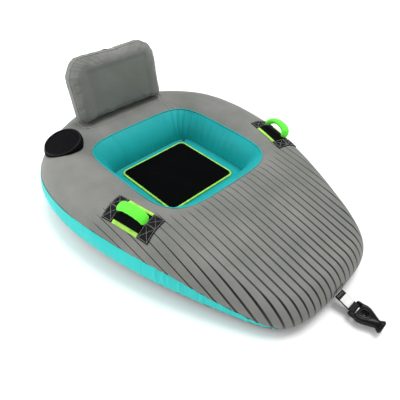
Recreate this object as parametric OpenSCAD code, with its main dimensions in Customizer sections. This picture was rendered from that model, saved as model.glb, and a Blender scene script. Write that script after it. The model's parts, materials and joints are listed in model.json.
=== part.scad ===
// Single-rider sit-in towable tube. Millimetres, +X to the nose, +Y to port, +Z up.
// The origin is on the ground under the middle of the whole length.

/* [Hull] */
// Cockpit centre behind the middle of the whole length
cockpit_setback = 216; // [206:1:226]
// Stern's distance from the cockpit centre
stern_reach = 720; // [700:5:740]
// Nose's distance from the cockpit centre
bow_reach = 955; // [940:5:965]
// Half width of the outline's control net
net_half_width = 655; // [635:5:675]
// Height of the inflated tube at the stern and sides
tube_height = 294; // [286:2:302]
// Height of the inflated tube at the nose
nose_height = 133; // [125:1:141]
// Where the deck starts to fall towards the nose
taper_start = 95; // [60:5:130]

/* [Cockpit] */
// Half length of the cockpit floor
floor_half_length = 246; // [238:1:250]
// Half width of the cockpit floor
floor_half_width = 270; // [262:1:276]
// Height of the cockpit floor above the ground
floor_height = 115; // [105:1:120]
// Half length of the cockpit rim
rim_half_length = 348; // [342:1:354]
// Half width of the cockpit rim
rim_half_width = 338; // [332:1:342]
// Height of the cockpit rim's seam above the ground
rim_height = 260; // [250:1:264]
// Length of the floor pad
pad_length = 404; // [390:2:410]
// Width of the floor pad
pad_width = 426; // [400:2:430]
// Thickness of the floor pad
pad_thickness = 8; // [5:1:10]

/* [Cover] */
// Thickness of the cover fabric
fabric = 1; // [0.8:0.1:1.2]
// Thickness of the bladder wall
bladder_wall = 0.8; // [0.6:0.1:1]
// Angle of the side band's upper seam, up from the tube's equator
band_angle = 21; // [18:1:24]
// Radius of the piping on the cockpit rim
piping_r = 3; // [2.5:0.5:3.5]

/* [Backrest] */
// Width of the backrest
back_width = 550; // [530:5:560]
// Height of the backrest along its lean
back_height = 328; // [312:4:336]
// Thickness of the backrest
back_depth = 92; // [86:2:100]
// Recline from upright
back_recline = 10; // [6:1:12]
// Backrest's base behind the cockpit centre
back_setback = 482; // [478:2:500]
// Backrest's centre to port of the hull's centre line
back_shift = 15; // [-20:5:20]

/* [Handles] */
// Length of a handle patch
patch_length = 236; // [230:2:248]
// Width of a handle patch
patch_width = 118; // [110:2:124]
// Height of the grip arch above the patch
grip_rise = 68; // [64:2:74]
// Lean of the grip arches outboard
grip_lean = 20; // [0:1:25]
// Width of the grip webbing
webbing_width = 38; // [34:2:40]

/* [Tow point] */
// Width of the tow webbing
tow_width = 50; // [46:1:52]
// Radius of the bar that the tow webbing loops round
tow_bar_r = 5; // [4.5:0.1:6]
// Radius of the rope opening
rope_hole_r = 13; // [11:0.5:14]

/* [Valves] */
// Radius of the round valve covers
cover_r = 94; // [88:1:96]
// Radius of the valve cap
cap_r = 26; // [24:1:28]

/* [Hidden] */
$fn = 48;

gray = [0.47, 0.48, 0.45];
teal = [0.10, 0.68, 0.68];
band_teal = [0.18, 0.78, 0.75];
lime = [0.45, 1.0, 0.25];
black = [0.05, 0.05, 0.06];
pvc = [0.86, 0.86, 0.82];

// ---------- hull surface ----------
// All sections stand on rays from one centre, a little ahead of the cockpit centre
ray_x = 4;
per_span = 5;
band_foot = -42;
band_end = 17;
under_reach = 90;
crown_flat = 12;
gap = 0.4;

net_points = [
    [bow_reach, 0], [bow_reach, 0.443 * net_half_width],
    [0.79 * bow_reach, 0.58 * net_half_width], [0.277 * bow_reach, 0.916 * net_half_width],
    [-0.6 * stern_reach, net_half_width], [-stern_reach, 0.267 * net_half_width],
    [-stern_reach, 0]
];
net_last = len(net_points) - 1;
net_loop = concat(net_points, [for (i = [net_last - 1:-1:1]) [net_points[i].x, -net_points[i].y]]);
net_count = len(net_loop);

function bspline(a, b, c, d, t) =
    (pow(1 - t, 3) * a + (3 * pow(t, 3) - 6 * t * t + 4) * b
    + (-3 * pow(t, 3) + 3 * t * t + 3 * t + 1) * c + pow(t, 3) * d) / 6;
function net(i) = net_loop[(i + net_count) % net_count];

outline = [for (i = [0:net_count - 1]) for (k = [0:per_span - 1])
    bspline(net(i - 1), net(i), net(i + 1), net(i + 2), k / per_span)];
stations = [for (p = outline) atan2(p.y, p.x - ray_x)];
outer_table = [for (i = [0:len(outline) / 2])
    let (p = outline[i]) [abs(atan2(p.y, p.x - ray_x)), norm([p.x - ray_x, p.y])]];

function clamp01(v) = max(0, min(1, v));
function oval_r(th, a, b, n) = pow(pow(abs(cos(th)) / a, n) + pow(abs(sin(th)) / b, n), -1 / n);
function floor_r(th) = oval_r(th, floor_half_length, floor_half_width, 8);
function rim_r(th) = oval_r(th, rim_half_length, rim_half_width, abs(th) < 90 ? 4.3 : 5);
function outer_r(th) = lookup(abs(th), outer_table);
function tube_h(x) = tube_height - (tube_height - nose_height)
    * pow(clamp01((x - taper_start) / (bow_reach - taper_start)), 1.6);
function on_ray(th, r, z) = [ray_x + r * cos(th), r * sin(th), z];
function side_radius(th) = tube_h(ray_x + outer_r(th) * cos(th)) / 2;
// The rim seam is level, so it is higher up the arc where the deck is lower
function rim_angle(th) =
    asin((rim_height - floor_height) / (tube_h(ray_x + rim_r(th) * cos(th)) - floor_height));
function wall_reach(th) = (rim_r(th) - floor_r(th)) / (1 - cos(rim_angle(th)));
function deck_reach(th) = min(wall_reach(th),
    (outer_r(th) - rim_r(th) - side_radius(th) - crown_flat) / cos(rim_angle(th)));

// The four arcs of a section, each a depth e below the cover's outer face
function arc_point(th, r, al, reach, out, e) =
    let (x = ray_x + r * cos(th), rise = tube_h(x) - floor_height,
        tilt = atan2(sin(al) / rise, cos(al) / reach))
    on_ray(th, r - out * e * cos(tilt), floor_height + rise * sin(al) - e * sin(tilt));
function wall_point(th, al, e) =
    arc_point(th, floor_r(th) + wall_reach(th) * (1 - cos(al)), al, wall_reach(th), -1, e);
function deck_point(th, al, e) =
    arc_point(th, rim_r(th) + deck_reach(th) * (cos(rim_angle(th)) - cos(al)), al, deck_reach(th), -1, e);
function side_point(th, al, e) =
    let (s = side_radius(th), r = outer_r(th) - s * (1 - cos(al)), h = tube_h(ray_x + r * cos(th)))
    on_ray(th, r - e * cos(al), h / 2 * (1 + sin(al)) - e * sin(al));
function under_point(th, al, e) =
    on_ray(th, floor_r(th) + under_reach * (1 - cos(al)) + e * cos(al),
        floor_height * (1 + sin(al)) - e * sin(al));
function band_top(th) =
    band_foot + 0.6 + (band_angle - band_foot - 0.6) * pow(clamp01((abs(th) - band_end) / 28), 0.45);

wall_parts = [0, 1 / 3, 2 / 3, 1];
deck_parts = [1 / 3, 2 / 3, 1];
side_angles = [90, 70, 52, 36];
foot_angles = [-60, -76, -90];
function band_row(th, e) = [for (f = [0, 0.5, 1])
    side_point(th, band_top(th) * (1 - f) + band_foot * f, e)];
function liner_row(th, e) = [for (f = wall_parts) wall_point(th, f * rim_angle(th), e)];
function deck_row(th, e) = concat([wall_point(th, rim_angle(th), e)],
    [for (f = deck_parts) deck_point(th, rim_angle(th) * (1 - f) + 90 * f, e)],
    [for (al = side_angles) side_point(th, al, e)], [side_point(th, band_top(th), e)]);
function foot_row(th, e) = [for (al = foot_angles) side_point(th, al, e)];
function whole_row(th, e) = concat(
    [for (k = [0:2]) liner_row(th, e)[k]], deck_row(th, e),
    [for (i = [1, 2]) band_row(th, e)[i]], foot_row(th, e),
    [for (al = [-90, -45]) under_point(th, al, e)]);

// Height of the deck's outer face at a place, and a point lifted off it
function deck_z(x, y) =
    let (th = atan2(y, x - ray_x), r = norm([x - ray_x, y]), h = tube_h(x),
        s = side_radius(th), from_edge = outer_r(th) - r,
        rise_cos = cos(rim_angle(th)) - (r - rim_r(th)) / deck_reach(th))
    from_edge < s ? h / 2 * (1 + sin(acos(clamp01(1 - from_edge / s))))
    : rise_cos > 0 ? floor_height + (h - floor_height) * sin(acos(clamp01(rise_cos))) : h;
function on_deck(x, y, lift) =
    let (d = 2, gx = (deck_z(x + d, y) - deck_z(x - d, y)) / (2 * d),
        gy = (deck_z(x, y + d) - deck_z(x, y - d)) / (2 * d), n = [-gx, -gy, 1])
    [x, y, deck_z(x, y)] + n * lift / norm(n);

// Slabs sewn on the deck lie between these lifts; a second layer starts at layer_low
sewn_gap = 0.3;
patch_top = 1.8;
layer_low = 2.1;

// ---------- solids from rows of points ----------
// Rows run counter-clockwise round the middle, and each row clockwise seen along its ray's right
function reversed(list) = [for (i = [len(list) - 1:-1:0]) list[i]];
// Columns from turned[0] up to turned[1] belong to a skin's inner face, whose rows run backwards.
// Their cells split along the other diagonal, so both faces of the skin bend at the same places
function quads(n, m, wrap_rows, wrap_cols, turned) =
    [for (j = [0:n - (wrap_rows ? 1 : 2)]) for (k = [0:m - (wrap_cols ? 1 : 2)])
        let (a = j * m + k, b = j * m + (k + 1) % m, row = ((j + 1) % n) * m,
            c = row + (k + 1) % m, d = row + k)
        each k >= turned[0] && k < turned[1] ? [[a, d, b], [d, c, b]] : [[a, c, b], [a, d, c]]];

module ring_solid(rows, turned = [0, 0]) {
    n = len(rows);
    m = len(rows[0]);
    polyhedron([for (r = rows) each r], quads(n, m, true, true, turned), convexity = 10);
}

module strip_solid(rows, turned = [0, 0]) {
    n = len(rows);
    m = len(rows[0]);
    last = (n - 1) * m;
    caps = [for (k = [0:m / 2 - 2]) let (a = k + 1, b = m - 2 - k, c = m - 1 - k)
        each [[k, a, b], [k, b, c], [last + b, last + a, last + k], [last + c, last + b, last + k]]];
    polyhedron([for (r = rows) each r], concat(quads(n, m, false, true, turned), caps), convexity = 10);
}

module dome_solid(rows, top, bottom, turned = [0, 0]) {
    n = len(rows);
    m = len(rows[0]);
    fans = [for (j = [0:n - 1]) let (k = (j + 1) % n)
        each [[n * m, k * m, j * m], [n * m + 1, j * m + m - 1, k * m + m - 1]]];
    polyhedron(concat([for (r = rows) each r], [top, bottom]),
        concat(quads(n, m, true, false, turned), fans), convexity = 10);
}

// A skin between rows of outer points and rows of inner points
function skin_rows(outer, inner) = [for (i = [0:len(outer) - 1]) concat(outer[i], reversed(inner[i]))];
module ring_skin(outer, inner) {
    h = len(outer[0]);
    ring_solid(skin_rows(outer, inner), [h, 2 * h - 1]);
}
module strip_skin(outer, inner) {
    h = len(outer[0]);
    strip_solid(skin_rows(outer, inner), [h, 2 * h - 1]);
}

// A thin slab lying on the deck: grid of plan points, lifted between two heights
module deck_slab(plan, low, high) {
    strip_skin([for (row = plan) [for (p = row) on_deck(p.x, p.y, high)]],
        [for (row = plan) [for (p = row) on_deck(p.x, p.y, low)]]);
}

module at_cockpit() {
    translate([-cockpit_setback, 0, 0]) children();
}

// ---------- hull ----------
bladder_depth = fabric + gap;

module main_bladder() {
    color(pvc) at_cockpit() difference() {
        ring_solid([for (th = stations) whole_row(th, bladder_depth)]);
        ring_solid([for (th = stations) whole_row(th, bladder_depth + bladder_wall)]);
    }
}

// The floor cell's rounded edge: how far in from the cell's side, and how far up
function floor_cell_row(th, e) =
    let (r = floor_r(th) - 3 - e, low = bladder_depth + e, high = floor_height - bladder_depth - e)
    [on_ray(th, r - 24, high), on_ray(th, r - 8, high - 6), on_ray(th, r, high - 22),
        on_ray(th, r, low + 22), on_ray(th, r - 8, low + 6), on_ray(th, r - 24, low)];
module floor_cell(e) {
    dome_solid([for (th = stations) floor_cell_row(th, e)],
        [ray_x, 0, floor_height - bladder_depth - e], [ray_x, 0, bladder_depth + e]);
}

module floor_bladder() {
    color(pvc) at_cockpit() difference() {
        floor_cell(0);
        floor_cell(bladder_wall);
    }
}

module deck_panel() {
    color(gray) at_cockpit()
        ring_skin([for (th = stations) deck_row(th, 0)], [for (th = stations) deck_row(th, fabric)]);
}

module side_band() {
    banded = [for (th = stations) if (abs(th) > band_end - 2) th];
    color(band_teal) at_cockpit()
        strip_skin([for (th = banded) band_row(th, 0)], [for (th = banded) band_row(th, fabric)]);
}

module bottom_panel() {
    inner_columns = len(foot_angles) + 1;
    color(black) at_cockpit()
        dome_solid([for (th = stations)
            concat(reversed(foot_row(th, fabric)), [side_point(th, band_foot, fabric)],
                [side_point(th, band_foot, 0)], foot_row(th, 0))],
            [ray_x, 0, fabric], [ray_x, 0, 0], [0, inner_columns - 1]);
}

module cockpit_liner() {
    color(teal) at_cockpit()
        ring_skin([for (th = stations) liner_row(th, 0)], [for (th = stations) liner_row(th, fabric)]);
}

module cockpit_floor() {
    color(teal) at_cockpit()
        dome_solid([for (th = stations)
            [on_ray(th, floor_r(th), floor_height), on_ray(th, floor_r(th), floor_height - fabric)]],
            [ray_x, 0, floor_height], [ray_x, 0, floor_height - fabric]);
}

module rim_piping() {
    sides = 6;
    color(band_teal) at_cockpit()
        ring_solid([for (th = stations) let (c = wall_point(th, rim_angle(th), -piping_r - gap))
            [for (k = [0:sides - 1]) let (a = 180 - 360 * k / sides)
                c + [piping_r * cos(a) * cos(th), piping_r * cos(a) * sin(th), piping_r * sin(a)]]]);
}

// ---------- floor ----------
pad_corner = 30;
pad_shift = -6;
binding_width = 9;
binding_rise = 2;

module rounded_plate(length, width, r, height) {
    for (sx = [-1, 1], sy = [-1, 1])
        translate([sx * (length / 2 - r), sy * (width / 2 - r), 0]) cylinder(r = r, h = height);
    translate([-length / 2 + r, -width / 2, 0]) cube([length - 2 * r, width, height]);
    translate([-length / 2, -width / 2 + r, 0]) cube([length, width - 2 * r, height]);
}

module floor_pad() {
    trim = 2 * binding_width;
    color(black) at_cockpit() translate([pad_shift, 0, floor_height])
        rounded_plate(pad_length - trim, pad_width - trim, pad_corner - binding_width, pad_thickness);
}

module pad_binding() {
    trim = 2 * binding_width;
    color(lime) at_cockpit() translate([pad_shift, 0, floor_height]) difference() {
        rounded_plate(pad_length, pad_width, pad_corner, pad_thickness - binding_rise);
        translate([0, 0, -1])
            rounded_plate(pad_length - trim, pad_width - trim, pad_corner - binding_width,
                pad_thickness + 2);
    }
}

// An eyelet that drains the floor, at its rear port corner
drain_r = 9;
drain_place = [-214, 234, floor_height];

module floor_drain() {
    color(black) at_cockpit() translate(drain_place) difference() {
        cylinder(r = drain_r, h = 1.6);
        translate([0, 0, -1]) cylinder(r = drain_r / 2, h = 4);
    }
}

// ---------- backrest ----------
// In its own frame: X to the front, Y across, Z up along the lean, base edge at Z 0
back_base_z = tube_height + 7;
back_top_r = 115;
back_foot_r = 60;
back_edge = 95;
back_power = 0.65;
back_steps = 7;

module at_backrest() {
    translate([-cockpit_setback - back_setback, back_shift, back_base_z])
        rotate([0, -back_recline, 0]) children();
}

// Corner centres' turns start at the port foot and go up, over the top and down to starboard
function back_corner(c, d) =
    let (top = c == 1 || c == 2, side = c < 2 ? 1 : -1, r = top ? back_top_r : back_foot_r,
        turn = max(r - d, 4), reach = max(r, d + 4))
    [for (k = [0:back_steps])
        let (a = (c == 0 ? -90 : c == 1 ? 0 : c == 2 ? 90 : 180) + 90 * k / back_steps)
        [side * (back_width / 2 - reach) + turn * cos(a),
            (top ? back_height - reach : reach) + turn * sin(a)]];
function back_outline(d) = [for (c = [0:3]) each back_corner(c, d)];
function back_edge_in(be, e) = e + (back_edge - e) * (1 - pow(cos(be), back_power));
function back_face(be, e) = (back_depth / 2 - e) * sign(be) * pow(abs(sin(be)), back_power);
// A row of points at each outline place, for the profile angles given, at a depth e
function back_rows(angles, e) =
    let (loops = [for (be = angles) back_outline(back_edge_in(be, e))])
    [for (i = [0:len(loops[0]) - 1])
        [for (k = [0:len(angles) - 1])
            [back_face(angles[k], e), loops[k][i].x, loops[k][i].y]]];

front_angles = [90, 62, 40, 20];
rear_angles = [-20, -40, -62, -90];
back_middle = back_height / 2;

// Front panel: a flat middle and a rounded rim, down to the gusset's front seam
module backrest_front_panel() {
    half = back_depth / 2;
    count = len(front_angles);
    rows = skin_rows(back_rows(front_angles, 0), back_rows(front_angles, fabric));
    color(gray) at_backrest()
        dome_solid(rows, [half, 0, back_middle], [half - fabric, 0, back_middle], [count, 2 * count - 1]);
}

module backrest_rear_panel() {
    half = back_depth / 2;
    inner = back_rows(reversed(rear_angles), fabric);
    rows = skin_rows(inner, back_rows(reversed(rear_angles), 0));
    color(gray) at_backrest()
        dome_solid(rows, [-half + fabric, 0, back_middle], [-half, 0, back_middle],
            [0, len(rear_angles) - 1]);
}

module backrest_gusset() {
    angles = [20, 0, -20];
    color(gray) at_backrest() ring_skin(back_rows(angles, 0), back_rows(angles, fabric));
}

module back_cell(e) {
    half = back_depth / 2 - e;
    dome_solid(back_rows(concat(front_angles, [0], rear_angles), e),
        [half, 0, back_middle], [-half, 0, back_middle]);
}

module backrest_bladder() {
    color(pvc) at_backrest() difference() {
        back_cell(bladder_depth);
        back_cell(bladder_depth + bladder_wall);
    }
}

// Strip that is sewn to the deck under the backrest's base
module backrest_base_strip() {
    steps = 12;
    half = back_width / 2 - 45;
    plan = [for (j = [0:steps]) [for (dx = [18, 6, -6, -18])
        [-back_setback + dx, back_shift - half + 2 * half * j / steps]]];
    color(gray) at_cockpit() deck_slab(plan, sewn_gap, patch_top);
}

// ---------- valves ----------
valve_x = -378;
valve_y = -404;
flange_r = 34;
neck_r = 21;
fit_gap = 0.3;
valve_seat_point = on_deck(valve_x, valve_y, sewn_gap);
valve_normal = (valve_seat_point - on_deck(valve_x, valve_y, 0)) / sewn_gap;

// A round flange with a neck, its foot at Z 0
module valve_seat() {
    difference() {
        union() {
            cylinder(r = flange_r, h = 2);
            cylinder(r = neck_r, h = 7);
        }
        translate([0, 0, -1]) cylinder(r = 13, h = 10);
    }
}

// A ribbed cap that sits over the neck
module screw_cap() {
    ribs = 24;
    difference() {
        union() {
            translate([0, 0, 2 + fit_gap]) cylinder(r = cap_r - 1, h = 8);
            for (k = [0:ribs - 1])
                rotate(360 * k / ribs) translate([cap_r - 1, 0, 2 + fit_gap])
                    cylinder(r = 0.9, h = 7, $fn = 16);
        }
        cylinder(r = neck_r + fit_gap, h = 7 + fit_gap);
    }
}

// The valve stands square on the deck, which slopes a little there
module at_valve() {
    at_cockpit() translate(valve_seat_point)
        rotate([0, acos(valve_normal.z), atan2(valve_normal.y, valve_normal.x)]) children();
}

module valve_base() {
    color(black) at_valve() valve_seat();
}

module valve_cap() {
    color(black) at_valve() screw_cap();
}

// A round lid that tilts outboard, with a skirt down to the deck. Its top and underside stand in
// the lid's own plane: pairs of radius and height off it
cover_sides = 30;
cover_tilt = 14.8;
cover_centre = on_deck(valve_x, valve_y, 0) + [0, 0, 18];
cover_dome = 4;
cover_thickness = 3;
cover_top = [[30, 3.4], [70, 1.5], [cover_r - 6, 0], [cover_r, -3]];
cover_under = [[cover_r - 9, -3], [70, -1.5], [30, 0.4]];
cover_foot_lift = 1.5;
cover_piping_r = 2.6;
function cover_place(a, r, up) =
    cover_centre + [r * cos(a), r * sin(a) * cos(cover_tilt) - up * sin(cover_tilt),
        r * sin(a) * sin(cover_tilt) + up * cos(cover_tilt)];
function cover_foot(a, r) =
    let (p = cover_place(a, r, 0)) on_deck(p.x, p.y, cover_foot_lift);

module valve_cover() {
    rows = [for (j = [0:cover_sides - 1]) let (a = 360 * j / cover_sides)
        concat([for (p = cover_top) cover_place(a, p[0], p[1])],
            [cover_foot(a, cover_r), cover_foot(a, cover_r - 3)],
            [for (p = cover_under) cover_place(a, p[0], p[1])])];
    color(black) at_cockpit()
        dome_solid(rows, cover_place(0, 0, cover_dome), cover_place(0, 0, cover_dome - cover_thickness));
}

module valve_cover_piping() {
    sides = 6;
    color(black) at_cockpit() ring_solid([for (j = [0:cover_sides - 1]) let (a = 360 * j / cover_sides)
        [for (k = [0:sides - 1]) let (b = 180 - 360 * k / sides)
            cover_place(a, cover_r - 5 + cover_piping_r * cos(b), 3.2 + cover_piping_r * sin(b))]]);
}

// The backrest's own valve, on the rear panel
back_valve_z = 228;
back_cover_r = 78;

module at_back_valve() {
    at_backrest() translate([-back_depth / 2 - 0.3, 0, back_valve_z]) rotate([0, -90, 0]) children();
}

module backrest_valve_base() {
    color(black) at_back_valve() valve_seat();
}

module backrest_valve_cap() {
    color(black) at_back_valve() screw_cap();
}

module backrest_valve_cover() {
    color(black) at_back_valve() rotate_extrude()
        polygon([[0, 12], [back_cover_r - 9, 12], [back_cover_r - 6, 1], [back_cover_r, 1],
            [back_cover_r, 8], [back_cover_r - 6, 13], [0, 15]]);
}

module backrest_cover_piping() {
    color(black) at_back_valve()
        rotate_extrude() translate([back_cover_r - 8, 16.2]) circle(r = 2.4, $fn = 20);
}

// ---------- handles ----------
// A handle's frame: u along the patch towards the nose, w outboard. The port handle mirrors the other
handle_x = 238;
handle_y = 455;
handle_turn = 12.4;
end_length = 54;
strip_width = 14;
end_patch_top = 4.1;
strip_top = 5.1;
guard_top = 4.6;

module on_side(port) {
    if (port) mirror([0, 1, 0]) children();
    else children();
}

function handle_place(u, w) =
    [handle_x + u * cos(handle_turn) + w * sin(handle_turn),
        -handle_y + u * sin(handle_turn) - w * cos(handle_turn)];

// A slab over the cells between two u lines and two w lines. Layers that lie on each other take
// their corners from the same lines, so their faces bend together
patch_half = patch_length / 2;
patch_side = patch_width / 2;
inner_reach = patch_half - end_length - 1;
guard_side = patch_side - strip_width - 1;
u_lines = concat([for (k = [0:3]) patch_half - end_length * k / 3],
    [for (k = [0:6]) inner_reach * (1 - k / 3)], [for (k = [3:-1:0]) end_length * k / 3 - patch_half]);
w_lines = concat([-patch_side, strip_width - patch_side], [for (k = [0:6]) guard_side * (k / 3 - 1)],
    [patch_side - strip_width, patch_side]);

module handle_slab(port, u_range, w_range, low, high) {
    plan = [for (i = u_range) [for (j = w_range) handle_place(u_lines[i], w_lines[j])]];
    at_cockpit() on_side(port) deck_slab(plan, low, high);
}

module handle_patch(port) {
    color(black) handle_slab(port, [0:14], [0:10], sewn_gap, patch_top);
}

module end_patches(port) {
    color(black) for (u_range = [[0:3], [11:14]])
        handle_slab(port, u_range, [0:10], layer_low, end_patch_top);
}

module edge_strips(port) {
    color(lime) for (w_range = [[0:1], [9:10]]) handle_slab(port, [4:10], w_range, layer_low, strip_top);
}

module knuckle_guard(port) {
    color(black) handle_slab(port, [4:10], [2:8], layer_low, guard_top);
}

// The arch's own frame: X along the patch, Y across, Z up, at the patch's top
arch_half = 66;
grip_half_height = 13;
grip_half_width = 22;
arch_steps = 20;
arch_lift = 7;
arch_skew = 12;

// The arch leans with the deck, which falls towards the nose
handle_ends = [for (u = [-arch_half, arch_half]) handle_place(u, 0)];
handle_fall = atan((deck_z(handle_ends[0].x, handle_ends[0].y) - deck_z(handle_ends[1].x, handle_ends[1].y))
    / (2 * arch_half));

module at_handle(port) {
    at_cockpit() on_side(port)
        translate([handle_x, -handle_y, deck_z(handle_x, -handle_y) + arch_lift])
            rotate([0, 0, handle_turn]) rotate([0, handle_fall, 0]) rotate([grip_lean, 0, 0]) children();
}

// A place on the arch, standing off its centreline by radial and across. The front leg is steep
// and the rear leg rises slowly
function arch_point(t, radial, across) =
    let (c = cos(t), s = sin(t), rise = grip_rise - grip_half_height)
    [arch_half * sign(c) * pow(abs(c), 0.8) + arch_skew * s + radial * c, across,
        rise * pow(s, c > 0 ? 0.6 : 1.15) + radial * s];

module webbing(port) {
    half = webbing_width / 2;
    rows = [for (j = [0:arch_steps])
        let (t = 3 + 174 * j / arch_steps, w = min(half, 2 + 0.6 * arch_point(t, 0, 0).z))
        [arch_point(t, 1.5, w), arch_point(t, -1.5, w), arch_point(t, -1.5, -w), arch_point(t, 1.5, -w)]];
    color(black) at_handle(port) strip_solid(rows);
}

// The foam tube round the webbing, with the webbing's slot through it
module grip(port) {
    sides = 12;
    slot_half = webbing_width / 2 + 0.4;
    slot_rise = 1.9;
    color(lime) at_handle(port) difference() {
        strip_solid([for (j = [0:arch_steps]) let (t = 24 + 132 * j / arch_steps)
            [for (k = [0:sides - 1]) let (a = 90 - 360 * k / sides)
                arch_point(t, grip_half_height * cos(a), grip_half_width * sin(a))]]);
        strip_solid([for (t = [22:6:160])
            [arch_point(t, slot_rise, slot_half), arch_point(t, -slot_rise, slot_half),
                arch_point(t, -slot_rise, -slot_half), arch_point(t, slot_rise, -slot_half)]]);
    }
}

module port_handle_patch() { handle_patch(true); }
module port_end_patches() { end_patches(true); }
module port_edge_strips() { edge_strips(true); }
module port_knuckle_guard() { knuckle_guard(true); }
module port_webbing() { webbing(true); }
module port_grip() { grip(true); }
module starboard_handle_patch() { handle_patch(false); }
module starboard_end_patches() { end_patches(false); }
module starboard_edge_strips() { edge_strips(false); }
module starboard_knuckle_guard() { knuckle_guard(false); }
module starboard_webbing() { webbing(false); }
module starboard_grip() { grip(false); }

// ---------- tow point ----------
tow_root = [bow_reach + 6, 0, 58];
tow_bar = [bow_reach + 84, 0, 36];
strap_half = 2.5;
loop_gap = 0.06;
loop_wall = 3;
tow_drop = atan2(tow_root.z - tow_bar.z, tow_bar.x - tow_root.x);
tow_reach = norm(tow_bar - tow_root);

// Reinforcing patch sewn over the nose, where the strap leaves it
module tow_patch() {
    half = tow_width / 2 + 8;
    span = asin(half / bow_reach);
    angles = [18, 0, -18, -36];
    places = [for (j = [0:4]) -span + 2 * span * j / 4];
    color(black) at_cockpit()
        strip_skin([for (th = places) [for (al = angles) side_point(th, al, -2.8)]],
            [for (th = places) [for (al = angles) side_point(th, al, -gap)]]);
}

module at_strap() {
    at_cockpit() translate(tow_root) rotate([0, tow_drop, 0]) children();
}

module tow_strap() {
    bore = tow_bar_r + loop_gap;
    color(black) at_strap() difference() {
        union() {
            rotate([90, 0, 0]) cylinder(r = strap_half, h = tow_width, center = true);
            translate([0, -tow_width / 2, -strap_half]) cube([tow_reach, tow_width, 2 * strap_half]);
            translate([tow_reach, 0, 0]) rotate([90, 0, 0])
                cylinder(r = bore + loop_wall, h = tow_width, center = true);
        }
        translate([tow_reach, 0, 0]) rotate([90, 0, 0])
            cylinder(r = bore, h = tow_width + 2, center = true);
    }
}

// Blank care label wrapped on the strap
module tow_label() {
    start = 20;
    length = 42;
    color("white") at_strap() translate([start, -tow_width / 2, strap_half]) cube([length, tow_width, 0.8]);
}

// Moulded connector: cheeks and bar for the strap, a pear-shaped ring for the rope, a thick neck
// and a flared knob
cheek = 10;
body_half = 15;
rope_hole_x = 40;
neck_x = 92;
neck_half = 19;
knob_radius = 27;

module tow_connector() {
    window = tow_width + 4;
    color(black) at_cockpit() translate(tow_bar) difference() {
        union() {
            rotate([90, 0, 0]) cylinder(r = tow_bar_r, h = window + 2, center = true);
            for (s = [-1, 1])
                translate([0, s * (window / 2 + cheek / 2), 0]) rotate([90, 0, 0])
                    cylinder(r = 12, h = cheek, center = true);
            difference() {
                hull() {
                    for (s = [-1, 1])
                        translate([17, s * (window / 2 + 2), 0]) scale([1, 1, 1.5]) sphere(r = 9, $fn = 32);
                    translate([33, 0, -body_half + 4]) cylinder(r = 41, h = 2 * body_half - 8);
                    translate([33, 0, -body_half]) cylinder(r = 36, h = 2 * body_half);
                    translate([neck_x - 8, 0, 0]) rotate([0, 90, 0]) cylinder(r = neck_half, h = 8);
                }
                translate([-20, -window / 2, -30]) cube([33.5, window, 60]);
            }
            for (s = [-1, 1])
                translate([0, s * (window / 2 + cheek / 2) - cheek / 2, -12]) cube([22, cheek, 24]);
            translate([neck_x, 0, 0]) rotate([0, 90, 0]) {
                cylinder(r = neck_half, h = 6);
                translate([0, 0, 5]) cylinder(r1 = neck_half, r2 = knob_radius, h = 12);
                translate([0, 0, 17]) cylinder(r = knob_radius, h = 5);
                translate([0, 0, 22]) cylinder(r1 = knob_radius, r2 = knob_radius - 6, h = 6);
            }
        }
        translate([rope_hole_x, 0, -40]) cylinder(r = rope_hole_r, h = 80);
    }
}

// ---------- zipper ----------
// The zipper runs on a cone round a vertical axis, close to the stern's curve
zip_radius = 700;
zip_angle = -25;
zip_half_turn = 8.8;
zip_spot = side_point(180, zip_angle, 0);
tape_off = 1.2;
teeth_off = tape_off + 1;
slider_off = teeth_off + 1.9;
slider_thickness = 3;
lug_off = slider_off + slider_thickness + 1.7;
slider_half = asin(6 / zip_radius);
slider_rest = 8;
pull_pin_r = 1.45;

module at_zip_axis() {
    at_cockpit() translate([zip_spot.x + zip_radius, 0, zip_spot.z]) rotate(180) children();
}

// A band on the cone, half high along the slope, between two distances off the cover
module zip_band(half_turn, half, near, far) {
    rotate(-half_turn) rotate_extrude(angle = 2 * half_turn, $fn = 180)
        translate([zip_radius, 0]) rotate(zip_angle) translate([near, -half]) square([far - near, 2 * half]);
}

// The lug's middle on the slider, which starts at the port end of its run
module at_slider_lug() {
    rotate(-slider_rest) translate([zip_radius, 0, 0]) rotate([0, -zip_angle, 0])
        translate([lug_off, 0, 0]) children();
}

module zipper_tape() {
    color(black) at_zip_axis() zip_band(zip_half_turn, 15, tape_off, teeth_off);
}

module zipper_teeth() {
    color(black) at_zip_axis() zip_band(zip_half_turn - 0.5, 2.5, teeth_off, teeth_off + 1.5);
}

module zipper_slider() {
    color("silver") at_zip_axis() {
        rotate(-slider_rest) zip_band(slider_half, 5, slider_off, slider_off + slider_thickness);
        at_slider_lug() rotate([90, 0, 0]) difference() {
            cylinder(r = 3.2, h = 5, center = true);
            cylinder(r = pull_pin_r + 0.05, h = 7, center = true);
        }
    }
}

// The pull hangs straight down from its pin
module zipper_pull() {
    color("silver") at_zip_axis() at_slider_lug() rotate([0, zip_angle, 0]) {
        rotate([90, 0, 0]) cylinder(r = pull_pin_r, h = 12, center = true);
        for (s = [-1, 1])
            translate([-pull_pin_r, s * 5 - 1, -14]) cube([2 * pull_pin_r, 2, 14]);
        translate([-1.2, -6, -34]) cube([2.4, 12, 20.5]);
    }
}

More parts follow.
